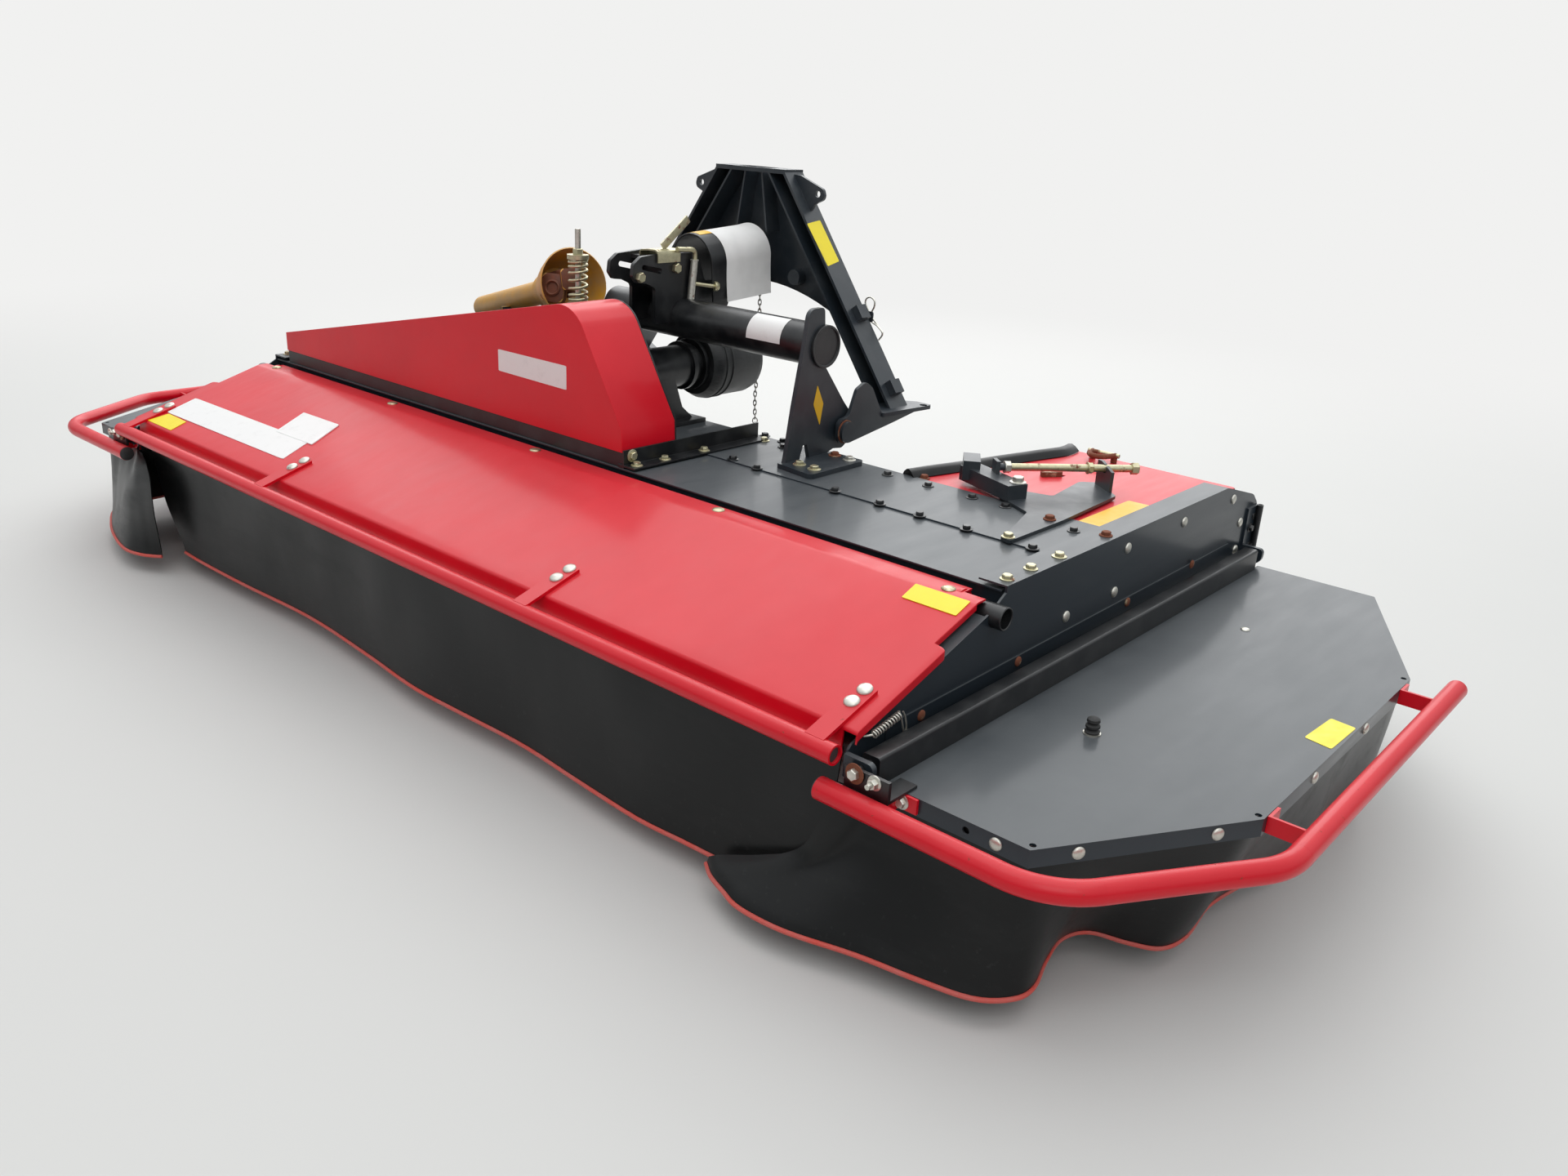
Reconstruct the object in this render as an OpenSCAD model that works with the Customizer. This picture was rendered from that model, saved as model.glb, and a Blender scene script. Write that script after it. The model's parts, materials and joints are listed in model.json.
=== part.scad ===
// Front-mounted disc mower: cutter bar with seven discs under a deck, belt drive from
// a central input shaft, lifting front hood, folding side guards with curtains and a
// triangle headstock. X runs across the machine (+X is its left side), -Y is the
// driving direction, Z is up from the ground. Sizes in millimetres.

/* [Overall] */
// half length of the hood across the machine
hood_half = 1389; // [1250:1:1500]
// height of the hood crease above the ground
hood_h = 560; // [500:1:640]
// thickness of the folded sheets
sheet_t = 4; // [3:0.5:6]
// smallest gap between pieces that move
move_gap = 6; // [5:0.5:12]
// radial play of a shaft in its bore
run_fit = 0.05; // [0.02:0.01:0.09]

/* [Hood] */
// level reach of the hood from crease to lower edge
hood_run = 395; // [340:1:440]
// drop of the hood over that reach
hood_drop = 125; // [90:1:150]
// depth of the flat strip behind the crease
strip_w = 56; // [44:1:70]
// height of the folded front lip
lip_h = 45; // [16:1:60]
// side wing of the hood over the side panel
wing_w = 31; // [28:1:33]
// hinge tube outside diameter
hinge_d = 48.3; // [42:0.1:61]
// front bar outside diameter
bar_d = 38; // [33:0.1:49]

/* [Deck] */
// rear edge of the deck behind the hood crease
deck_run = 585; // [560:1:640]
// height of the deck top over the hood crease
deck_rise = 10; // [5:1:20]
// outer face of the side panels beyond the half length of the hood
panel_off = 21; // [16:1:24]
// rear end of the side panels
panel_rear = 1340; // [1200:1:1400]
// rear edge of the two red rear panels
rear_run = 1183; // [1100:1:1250]
// inner edge of the rear panels at the deck
swath_x = 807; // [760:1:860]

/* [Side guards] */
// distance of the guard hinge axis from the side panel
hinge_off = 38; // [36:1:60]
// depth of the guard hinge axis below the hood crease
guard_drop = 178; // [150:1:200]
// width of the hinge beam
beam_w = 38; // [34:1:42]
// depth of the guard plate below the hinge axis
plate_drop = 34; // [28:1:44]
// reach of the guard plate outside the side panel
guard_out = 576; // [500:1:680]
// skirt depth of the guard plate
skirt_h = 34; // [20:1:45]
// distance from the guard plate to the bar centre
bar_off = 81; // [60:1:110]
// diameter of the bent guard bar
guard_bar_d = 42.4; // [33:0.1:49]
// diameter of the guard hinge pins
guard_pin_d = 20; // [16:1:22]

/* [Cutter bar] */
// knife tip radius as a share of the distance between discs
tip_share = 0.625; // [0.55:0.005:0.64]
// centre line of the discs behind the hood hinge
disc_y = 330; // [250:1:420]
// depth of the cutter bar housing
cutter_w = 300; // [240:1:340]
// top of the cutter bar housing above the ground
cutter_top = 80; // [65:1:95]
// spindle diameter of the discs
spindle_d = 40; // [30:1:50]

/* [Drive] */
// height of the input shaft above the hood crease
input_rise = 165; // [140:1:200]
// diameter of the input stub outside its housing
input_d = 34.9; // [30:0.1:38]
// shaft diameter inside the housing
shaft_d = 40; // [39:0.1:50]
// outside radius of the shaft housing
housing_r = 58; // [50:1:64]
// radius of the driving pulley
pulley_r = 150; // [120:1:160]
// radius of the driven pulley
driven_r = 90; // [70:1:110]
// inside radius of the shaft guard
bell_r = 96; // [92:1:120]

/* [Headstock] */
// half width of the headstock top
head_top = 131; // [110:1:150]
// half width of the headstock base
head_base = 560; // [520:1:575]
// height of the headstock above the hood crease
head_rise = 699; // [600:1:760]
// front face of the headstock behind the hood hinge
head_y = 812; // [760:1:860]
// depth of the headstock channels
head_w = 78; // [60:1:100]
// place of the headstock pivot behind the hood hinge
pivot_y = 600; // [560:1:640]
// height of the headstock pivot above the hood crease
pivot_rise = 79; // [60:1:110]
// pivot pin diameter
pivot_d = 30; // [25:1:40]
// outer face of the bracket plates
bracket_x = 556; // [500:1:600]
// cross tube diameter
cross_d = 108; // [90:1:127]
// height of the cross tube above the hood crease
cross_rise = 308; // [290:1:330]

/* [Hidden] */
gap = 0.4;
deck_top = hood_h + deck_rise;
hinge_y = strip_w / 2 + 6;
deck_front = strip_w + 12;
lip_y = deck_front + 10;
hinge_z = hood_h - sheet_t - 2 - hinge_d / 2;
slope = atan2(hood_drop, hood_run);
bar_y = -(hood_run + 49);
bar_z = hood_h - hood_drop - 49 * tan(slope) - bar_d / 2 + 6.5;
panel_x = hood_half + panel_off;
input_z = hood_h + input_rise;
head_z = hood_h + head_rise;
pivot_z = hood_h + pivot_rise;
head_foot_z = hood_h + 108;
plate_z = deck_top + 2 * sheet_t + gap;
seam_y = 325;
disc_n = 7;
disc_pitch = (panel_x - 32.5) / (3 + tip_share);
tip_r = disc_pitch * tip_share;
disc_r = tip_r * 0.78;
disc_x0 = -disc_pitch * 3;
guard_axis_x = panel_x + hinge_off;
guard_axis_z = hood_h - guard_drop;
guard_z = guard_axis_z - plate_drop;
guard_x = panel_x + guard_out;
guard_in = panel_x + 52;
guard_front = -372;
guard_rear = panel_rear - 56;
guard_bar_z = guard_z - 13;
cross_z = hood_h + cross_rise;

// height of the hood's upper face at a place in front of its crease
function hood_z(y) = hood_h + y * tan(slope);

red = [0.79, 0.05, 0.13];
grey = [0.24, 0.26, 0.28];
black = [0.09, 0.09, 0.1];
zinc = [0.72, 0.7, 0.62];
rubber = [0.07, 0.07, 0.08];

// a cylinder along X from x0 to x1
module rod_x(x0, x1, y, z, r, fn = 32)
    translate([x0, y, z]) rotate([0, 90, 0]) cylinder(h = x1 - x0, r = r, $fn = fn);

// a cylinder along Y from y0 to y1
module rod_y(x, y0, y1, z, r, fn = 32)
    translate([x, y0, z]) rotate([-90, 0, 0]) cylinder(h = y1 - y0, r = r, $fn = fn);

// a box given by its two corners
module box(a, b)
    translate(a) cube([b[0] - a[0], b[1] - a[1], b[2] - a[2]]);

// a profile drawn in Y and Z, pulled along X from x0 to x1
module along_x(x0, x1, pts)
    translate([x0, 0, 0]) rotate([90, 0, 90]) linear_extrude(x1 - x0) polygon(pts);

// a profile drawn in X and Z, pulled along Y from y0 to y1
module along_y(y0, y1, pts)
    translate([0, y1, 0]) rotate([90, 0, 0]) linear_extrude(y1 - y0) polygon(pts);

// unit normal to the left of the way from a to b
function left_of(a, b) = let (d = b - a) [-d[1], d[0]] / norm(d);

// point i of a path moved by t to its left, mitred at the corners
function moved(p, i, t) =
    i == 0 ? p[0] + t * left_of(p[0], p[1])
    : i == len(p) - 1 ? p[i] + t * left_of(p[i - 1], p[i])
    : let (a = left_of(p[i - 1], p[i]), b = left_of(p[i], p[i + 1]), s = a + b)
      p[i] + s * (2 * t / (s * s));

// closed outline of a wall of thickness t on the left of an open path
function wall(p, t) = concat(p, [for (i = [len(p) - 1:-1:0]) moved(p, i, t)]);

// corner b of a to c rounded with radius r, in n steps
function corner(a, b, c, r, n) =
    let (u = (a - b) / norm(a - b), v = (c - b) / norm(c - b), h = acos(u * v) / 2,
        m = b + (u + v) / norm(u + v) * r / sin(h), p = b + u * r / tan(h) - m,
            q = b + v * r / tan(h) - m,
        a0 = atan2(p[1], p[0]), d = atan2(q[1], q[0]) - a0,
            turn = d > 180 ? d - 360 : d < -180 ? d + 360 : d)
    [for (i = [0:n]) m + r * [cos(a0 + turn * i / n), sin(a0 + turn * i / n)]];

// outline with its corners rounded, one radius for all or a list of them
function rounded(p, r, n = 6) = let (k = len(p)) [for (i = [0:k - 1]) let (q = is_list(r) ? r[i] : r)
    each (q > 0 ? corner(p[(i + k - 1) % k], p[i], p[(i + 1) % k], q, n) : [p[i]])];

// everything is drawn from the hood crease and set down with the disc line at Y = 0
module from_crease() translate([0, -disc_y, 0]) children();

// a piece for the left side, mirrored for the right side
module on_side(s) mirror([s < 0 ? 1 : 0, 0, 0]) children();

// a round tube of radius r along a level path with round bends
module bent_tube(p, z, r, bend) {
    n = len(p);
    for (i = [0:n - 2]) {
        d = (p[i + 1] - p[i]) / norm(p[i + 1] - p[i]);
        a = i == 0 ? p[0] : p[i] + d * (setback(p, i, bend) - 0.5);
        b = i == n - 2 ? p[n - 1] : p[i + 1] - d * (setback(p, i + 1, bend) - 0.5);
        translate([a[0], a[1], z]) rotate([0, 90, atan2(d[1], d[0])])
            cylinder(h = norm(b - a), r = r, $fn = 24);
    }
    for (i = [1:n - 2]) {
        d0 = (p[i] - p[i - 1]) / norm(p[i] - p[i - 1]);
        d1 = (p[i + 1] - p[i]) / norm(p[i + 1] - p[i]);
        s = setback(p, i, bend);
        side = sign(d0[0] * d1[1] - d0[1] * d1[0]);
        c = p[i] - d0 * s + side * bend * [-d0[1], d0[0]];
        a0 = atan2(d0[1], d0[0]) - side * 90;
        turn = acos(d0 * d1);
        translate([c[0], c[1], z]) rotate([0, 0, side > 0 ? a0 : a0 - turn])
            rotate_extrude(angle = turn, $fn = 64) translate([bend, 0]) circle(r = r - 0.15, $fn = 24);
    }
}

function setback(p, i, bend) =
    let (d0 = (p[i] - p[i - 1]) / norm(p[i] - p[i - 1]), d1 = (p[i + 1] - p[i]) / norm(p[i + 1] - p[i]))
    bend * tan(acos(d0 * d1) / 2);

// root: deck, panels, drive housings and cutter bar

module deck() color(grey) from_crease() difference() {
    along_x(-panel_x + 12, panel_x - 12, [[lip_y, deck_top - 40], [lip_y + sheet_t, deck_top - 40],
        [lip_y + sheet_t, deck_top - sheet_t], [372, deck_top - sheet_t], [372, deck_top],
            [deck_run, deck_top],
        [deck_run, deck_top + sheet_t], [seam_y, deck_top + sheet_t], [seam_y, deck_top],
        [deck_front, deck_top], [deck_front, deck_top - sheet_t], [lip_y, deck_top - sheet_t]]);
    box([disc_x0 - driven_r - 40, 100, deck_top - 20], [-60, 262, deck_top + 20]);
    translate([disc_x0, disc_y, deck_top - 30]) cylinder(h = 60, r = 84, $fn = 48);
    box([disc_x0 - 60, 255, deck_top - 20], [disc_x0 + 60, 280, deck_top + 20]);
}

module main_beam() color(black) from_crease() difference() {
    box([-panel_x + 24, 430, deck_top - 130], [panel_x - 24, 548, deck_top - gap]);
    box([-panel_x + 23, 438, deck_top - 122], [panel_x - 23, 540, deck_top - gap - 8]);
}

module end_plates() color(black) from_crease() for (s = [-1, 1]) on_side(s)
    along_x(panel_x - 22, panel_x - 14, rounded([[150, 30], [560, 30], [560, hood_h - 260],
        [520, deck_top - sheet_t - gap],
        [240, deck_top - sheet_t - gap], [150, 200]], [20, 30, 60, 10, 10, 60]));

side_pts = [[22, hood_z(22) - 26], [-hood_run, hood_z(-hood_run) - 26],
    [-hood_run - 10, guard_axis_z + 18], [-hood_run - 10, guard_axis_z - 36],
    [panel_rear, guard_axis_z - 44], [panel_rear, hood_h - 60], [panel_rear - 40, hood_h - 28],
    [panel_rear - 223, plate_z + sheet_t], [deck_front, plate_z + sheet_t], [deck_front, deck_top - 2]];
module side_panel(s) on_side(s) {
    difference() {
        union() {
            along_x(panel_x - 5, panel_x, rounded(side_pts, [0, 8, 8, 12, 20, 30, 60, 60, 0, 0]));
            along_y(deck_front, panel_rear - 223, [[panel_x - 66, plate_z], [panel_x - 2, plate_z],
                [panel_x - 2, plate_z + sheet_t],
                [panel_x - 66, plate_z + sheet_t]]);
            box([panel_x - 40, panel_rear - 5, guard_axis_z - 22], [panel_x - 2, panel_rear,
                hood_h - 80]);
            along_x(panel_x - 30, panel_x - 1, wall([[4, hood_z(4) - 26],
                [-hood_run + 25, hood_z(-hood_run + 25) - 26]], sheet_t));
            along_x(panel_x - 1, panel_x + 4, rounded([[-300, guard_axis_z - 32],
                [panel_rear - 160, guard_axis_z - 32], [panel_rear - 160, guard_axis_z + 40],
                    [-300, guard_axis_z + 30]], [6, 6, 6, 20]));
        }
        rod_x(panel_x - 10, panel_x + 5, hinge_y, hinge_z, hinge_d / 2 + gap);
    }
    for (y = [-hood_run - 20, guard_rear - 12]) difference() {
        along_y(y, y + 12, rounded([[panel_x - 1, guard_axis_z - plate_drop + 6], [guard_axis_x + 24,
            guard_axis_z - plate_drop + 6], [guard_axis_x + 24, guard_axis_z + 16], [panel_x - 1,
            guard_axis_z + 16]], [0, 24, 12, 0]));
        rod_y(guard_axis_x, y - 1, y + 13, guard_axis_z, guard_pin_d / 2 + run_fit);
    }
    box([panel_x - 1, guard_rear - 12, guard_axis_z - 37], [panel_x + 6, panel_rear, hood_h - 63]);
}
module side_panel_l() color(grey) from_crease() side_panel(1);
module side_panel_r() color(grey) from_crease() side_panel(-1);

module hinge_tube() color(black) from_crease() difference() {
    rod_x(-panel_x - 26, panel_x + 26, hinge_y, hinge_z, hinge_d / 2);
    rod_x(-panel_x - 27, panel_x + 27, hinge_y, hinge_z, hinge_d / 2 - 4);
}

swath_pts = [[swath_x, 553], [swath_x, 590], [swath_x + 136, rear_run - 70], [swath_x + 132, rear_run],
    [panel_x - 8, rear_run], [panel_x - 8, 553]];
module rear_panel(s) on_side(s) {
    difference() {
        translate([0, 0, deck_top - sheet_t - gap]) linear_extrude(sheet_t)
            polygon(rounded(swath_pts, [0, 0, 25, 6, 10, 0]));
        translate([swath_x + 203, 905, deck_top - 10]) cube([45, 18, 20]);
    }
    along_x(swath_x + 134, panel_x - 8, wall([[rear_run - 2, deck_top - 40],
        [rear_run - 2, deck_top - 2]], 3));
}
module rear_panel_l() color(red) from_crease() rear_panel(1);
module rear_panel_r() color(red) from_crease() rear_panel(-1);

// upright boards that narrow the swath, hung below the inner edges of the rear panels
board_line = [[swath_x + 8, 594], [swath_x + 142, rear_run - 72]];
module swath_boards() color(grey) from_crease() for (s = [-1, 1]) on_side(s) {
    translate([0, 0, 220]) linear_extrude(deck_top - 226) polygon(wall(board_line, -sheet_t));
    translate([0, 0, 150]) linear_extrude(72) polygon(wall([board_line[0] + [2, 30],
        board_line[1] + [6, 0]], -8));
}

// one half of the swath adjusters: a plate, a lever with its block and a threaded rod in a lug
adjuster_pts = [for (p = [[176, 322], [146, 312], [144, 535], [158, 815], [245, 893], [282, 858],
    [260, 690], [340, 668], [352, 590], [232, 524], [188, 380]]) [panel_x - p[0], p[1]]];
adjuster_z = deck_top + sheet_t + gap;
module swath_adjusters() color(grey) from_crease() for (s = [-1, 1]) on_side(s) {
    translate([0, 0, adjuster_z]) linear_extrude(8)
        polygon(rounded(adjuster_pts, [6, 6, 40, 10, 14, 20, 14, 24, 20, 20, 40]));
    translate([panel_x - 494, 633, adjuster_z + 7]) rotate([0, 0, -21]) box([0, 0, 0], [196, 58, 37]);
    translate([panel_x - 468, 606, adjuster_z + 15]) rotate([0, 0, 34]) box([0, 3, 0], [42, 88, 49]);
    translate([panel_x - 398, 644, adjuster_z + 40]) rotate([0, 0, 49]) box([-5, -18, 0], [5, 18, 36]);
    translate([panel_x - 398, 644, adjuster_z + 58]) rotate([0, 90, 49]) cylinder(h = 352, r = 9,
        $fn = 24);
    translate([panel_x - 212, 852, adjuster_z + 7]) rotate([0, 0, 53]) difference() {
        along_x(-4, 4, [[-40, 0], [40, 0], [40, 64], [20, 66], [-40, 52]]);
        rod_x(-5, 5, 0, 51, 11);
    }
}

cover_pts = rounded([[-hood_half + 60, hood_h + 49], [297, hood_h + 49], [294, hood_h + 106],
    [115, hood_h + 392],
    [-hood_half + 60, hood_h + 106]], [0, 0, 0, 100, 0], 10);
cover_rim = [for (i = [1:len(cover_pts)]) cover_pts[i % len(cover_pts)]];
cover_in = [for (i = [0:len(cover_rim) - 1]) moved(cover_rim, i, sheet_t)];
module belt_cover() color(red) from_crease() difference() {
    along_y(70, 250, cover_pts);
    along_y(70 + sheet_t, 251, concat([cover_in[0] - [0, 9]], cover_in,
        [cover_in[len(cover_in) - 1] - [0, 9]]));
}

module belt_rail() color(black) from_crease() {
    along_y(70, 560, [[298, deck_top + gap + sheet_t], [342, deck_top + gap + sheet_t],
        [342, deck_top + 9],
        [303, deck_top + 9], [303, deck_top + 46], [298, deck_top + 46]]);
    along_x(-hood_half + 60, 299, [[74, deck_top + gap], [96, deck_top + gap], [96, deck_top + 4],
        [78, deck_top + 4],
        [78, deck_top + 38], [74, deck_top + 38]]);
    box([280, 70, deck_top + gap], [303, 98, deck_top + 9]);
    difference() {
        union() {
            along_y(250 + gap, 255, cover_pts);
            box([-1000, 250 + gap, deck_top + 5], [299, 255, hood_h + 50]);
            box([-1000, 250 + gap, deck_top + 5], [299, 276, deck_top + 9]);
        }
        rod_y(0, 240, 280, input_z, housing_r + 6, 48);
        rod_y(disc_x0, 240, 280, hood_h, 60, 48);
    }
}

module cross_tube() color(black) from_crease() {
    difference() {
        rod_x(-225, bracket_x + 8, 515, cross_z, cross_d / 2, 48);
        rod_x(bracket_x + 4, bracket_x + 9, 515, cross_z, cross_d / 2 - 6, 48);
    }
    along_x(-222, -210, [[440, deck_top + sheet_t + gap], [590, deck_top + sheet_t + gap],
        [560, cross_z - 10], [470, cross_z - 10]]);
    box([-250, 430, deck_top + sheet_t + gap], [-150, 600, deck_top + sheet_t + 10]);
}

foot_top = deck_top + sheet_t + gap + 12;
bracket_low = [[382, deck_top + sheet_t + gap], [388, hood_h + 40], [408, hood_h + 164]];
bracket_rear = [[607, hood_h + 156], [652, hood_h + 110], [652, hood_h + 56], [612, hood_h + 30],
    [575, hood_h + 34],
    [545, foot_top - 2], [480, foot_top - 2], [468, hood_h + 62], [452, hood_h + 62],
        [440, foot_top - 2]];
module bracket(tall) {
    difference() {
        union() {
            along_x(bracket_x - 12, bracket_x, rounded(concat(bracket_low, tall
                ? [[440, cross_z + 17], [450, cross_z + 97], [508, cross_z + 97], [524, cross_z - 53]]
                : [[430, hood_h + 215], [560, hood_h + 215]], bracket_rear),
                tall ? [0, 30, 60, 60, 26, 12, 8, 60, 30, 30, 20, 10, 4, 4, 4, 4, 4]
                : [0, 30, 40, 20, 20, 60, 30, 30, 20, 10, 4, 4, 4, 4, 4]));
            translate([0, 0, foot_top - 12]) linear_extrude(12) polygon(rounded([[bracket_x - 12, 370],
                [bracket_x + 112, 352], [bracket_x + 112, 569], [bracket_x - 12, 569]], [0, 14, 14, 0]));
        }
        rod_x(bracket_x - 13, bracket_x + 1, 515, cross_z, cross_d / 2 + gap, 48);
        rod_x(bracket_x - 13, bracket_x + 1, pivot_y, pivot_z, pivot_d / 2 + run_fit);
    }
}
module bracket_l() color(grey) from_crease() bracket(true);
module bracket_r() color(grey) from_crease() on_side(-1) bracket(false);

// the housing of the input shaft stands on two webs, flanged at the belt drive and at the guard
module gearbox() color(black) from_crease() difference() {
    union() {
        rod_y(0, 262, 598, input_z, housing_r, 48);
        rod_y(0, 262, 274, input_z, housing_r + 18, 48);
        rod_y(0, 586, 598, input_z, housing_r + 14, 48);
        rod_y(0, 546, 560, input_z, housing_r + 10, 48);
        for (s = [-1, 1]) along_x(s * 48 - 6, s * 48 + 6, [[420, deck_top + sheet_t + gap],
            [566, deck_top + sheet_t + gap],
            [512, hood_h + 60], [474, input_z - 5], [424, input_z - 5]]);
        box([-86, 410, deck_top + sheet_t + gap], [86, 575, deck_top + sheet_t + 12]);
    }
    rod_y(0, 261, 599, input_z, shaft_d / 2 + run_fit);
}

module shaft_guard() color(rubber) from_crease() translate([0, 600, input_z]) rotate([-90, 0, 0])
    rotate_extrude($fn = 64) polygon([[45, gap], [bell_r - 8, gap], [bell_r + 6, 26], [bell_r + 6, 40],
        [bell_r + 9, 40], [bell_r + 9, 46], [bell_r + 6, 46], [bell_r + 6, 64], [bell_r + 9, 64],
        [bell_r + 9, 70], [bell_r + 6, 70], [bell_r + 6, 176], [bell_r + 1, 196], [bell_r - 5, 200],
        [bell_r - 5, 194], [bell_r, 174], [bell_r, 28], [bell_r - 11, 6], [45, 6]]);

// side view of a latch plate, its hook to the front, depth behind the crease and height over it
hook_pts = [for (p = [[404, 300], [404, 396], [372, 410], [336, 414], [322, 432], [326, 462], [352, 480],
    [440, 486], [545, 482], [572, 452], [590, 404], [650, 404], [700, 338], [640, 300]])
    [p[0], hood_h + p[1]]];
module latch_block() color(black) from_crease() {
    for (s = [-1, 1]) difference() {
        along_x(s * 46 - 6, s * 46 + 6, rounded(hook_pts, [0, 12, 10, 10, 10, 12, 12, 40, 24, 16, 16,
            24, 24, 0]));
        rod_x(-60, 60, 515, cross_z, cross_d / 2 + gap, 48);
        rod_x(-60, 60, 362, hood_h + 452, 7);
        rod_x(-60, 60, 420, hood_h + 440, 7);
        along_x(-60, 60, [[361, hood_h + 445], [419, hood_h + 433], [421, hood_h + 447],
            [363, hood_h + 459]]);
    }
    box([-41, 400, hood_h + 466], [41, 540, hood_h + 476]);
    box([-41, 444, hood_h + 388], [41, 454, hood_h + 470]);
    rod_x(-64, 64, 476, hood_h + 445, 8);
    rod_x(-74, 74, 610, hood_h + 389, 9);
}

module latch_cover() color(black) from_crease() translate([0, 590, hood_h + 448]) rotate([4.4, 0, 0])
    along_y(0, 240, wall(concat([[-80, -100]], [for (a = [180:-12:0]) [80 * cos(a), 80 * sin(a)]],
        [[80, -100]]), -5));

module tensioner() color(zinc) from_crease() {
    translate([-190, 340, deck_top + sheet_t + gap]) cylinder(h = 515, r = 8, $fn = 24);
    translate([-190, 340, hood_h + 449]) cylinder(h = 12, r = 30, $fn = 40);
    translate([-190, 340, hood_h + 318]) cylinder(h = 12, r = 30, $fn = 40);
    translate([-190, 340, hood_h + 461]) cylinder(h = 16, r = 15, $fn = 6);
    box([-230, 330, deck_top + sheet_t + gap], [-150, 378, deck_top + 12]);
    translate([-190, 340, hood_h + 330]) difference() {
        cylinder(h = 119, r = 28, $fn = 40);
        translate([0, 0, 1]) cylinder(h = 117, r = 21, $fn = 40);
    }
}
// the drive shaft lies in a rest, its cup and yoke turned to the left side
stow_from = [-310, 425, hood_h + 362];
stow_to = [-1000, 602, hood_h + 190];
module stowed_shaft() color([0.8, 0.6, 0.1]) from_crease() {
    d = stow_to - stow_from;
    translate(stow_from) rotate([0, acos(d[2] / norm(d)), atan2(d[1], d[0])]) {
        difference() {
            rotate_extrude($fn = 48) polygon([[0, 90], [60, 90], [96, 0], [102, 0], [74, 96],
                [52, 150], [48, 190],
                [36, 196], [36, norm(d)], [0, norm(d)]]);
        }
        translate([0, 0, 20]) cylinder(h = 80, r = 24, $fn = 32);
        for (s = [-1, 1]) translate([s * 26 - 8, -20, -24]) cube([16, 40, 70]);
    }
    box([-724, 470, deck_top + sheet_t + gap], [-716, 590, hood_h + 240]);
}

module end_gearbox() color(black) from_crease() {
    translate([disc_x0, disc_y, hood_h - 108]) cylinder(h = 168, r = 66, $fn = 48);
    translate([disc_x0, disc_y, hood_h + 60]) cylinder(h = 12, r = 58, $fn = 48);
    translate([disc_x0, disc_y, hood_h - 120]) cylinder(h = 14, r = 84, $fn = 48);
    translate([disc_x0, disc_y, 160]) cylinder(h = hood_h - 278, r = 48, $fn = 48);
    rod_y(disc_x0, 262, disc_y, hood_h, 52, 48);
}

module cutter_bar() color(grey) from_crease() difference() {
    along_x(-panel_x + 26, panel_x - 26, rounded([[disc_y - 110, 30], [disc_y - 132, 50],
        [disc_y - 110, cutter_top],
        [disc_y + 160, cutter_top], [disc_y + 190, 62], [disc_y + 190, 30]], [8, 16, 10, 8, 8, 4], 4));
    for (i = [0:disc_n - 1]) translate([disc_x0 + i * disc_pitch, disc_y, cutter_top - 30])
        cylinder(h = 40, r = spindle_d / 2 + run_fit, $fn = 32);
}

module skids() color(black) from_crease()
    for (i = [0:disc_n - 1]) along_x(disc_x0 + i * disc_pitch - 85, disc_x0 + i * disc_pitch + 85,
        rounded([
        [disc_y - 160, 26], [disc_y - 150, 30 - gap], [disc_y + 200, 30 - gap], [disc_y + 250, 34],
            [disc_y + 262, 22],
        [disc_y + 215, 0], [disc_y - 100, 0]], [2, 4, 60, 3, 3, 60, 60], 4));

// a disc with two knives, turned by a about its spindle
module disc(i) {
    a = i % 2 == 0 ? 0 : 90;
    translate([disc_x0 + (i - 1) * disc_pitch, disc_y, 0]) rotate([0, 0, a]) {
        translate([0, 0, cutter_top - 25]) cylinder(h = 45, r = spindle_d / 2, $fn = 32);
        translate([0, 0, cutter_top + 16]) scale([1, 0.65, 1]) cylinder(h = 8, r = disc_r, $fn = 64);
        translate([0, 0, cutter_top + 23]) rotate_extrude($fn = 48)
            polygon([[0, 0], [100, 0], [84, 8], [60, 28], [40, 34], [0, 34]]);
        for (s = [-1, 1]) {
            translate([0, 0, cutter_top + 9]) linear_extrude(4) polygon([[s * (disc_r - 35), -24],
                [s * (tip_r - 12), -24],
                [s * tip_r, 6], [s * (tip_r - 2), 24], [s * (disc_r - 35), 24]]);
            translate([s * (disc_r - 20), 0, cutter_top + 8]) cylinder(h = 10, r = 10, $fn = 24);
        }
    }
}
module disc_1() color(grey) from_crease() disc(1);
module disc_2() color(grey) from_crease() disc(2);
module disc_3() color(grey) from_crease() disc(3);
module disc_4() color(grey) from_crease() disc(4);
module disc_5() color(grey) from_crease() disc(5);
module disc_6() color(grey) from_crease() disc(6);
module disc_7() color(grey) from_crease() disc(7);

// hood

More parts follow.
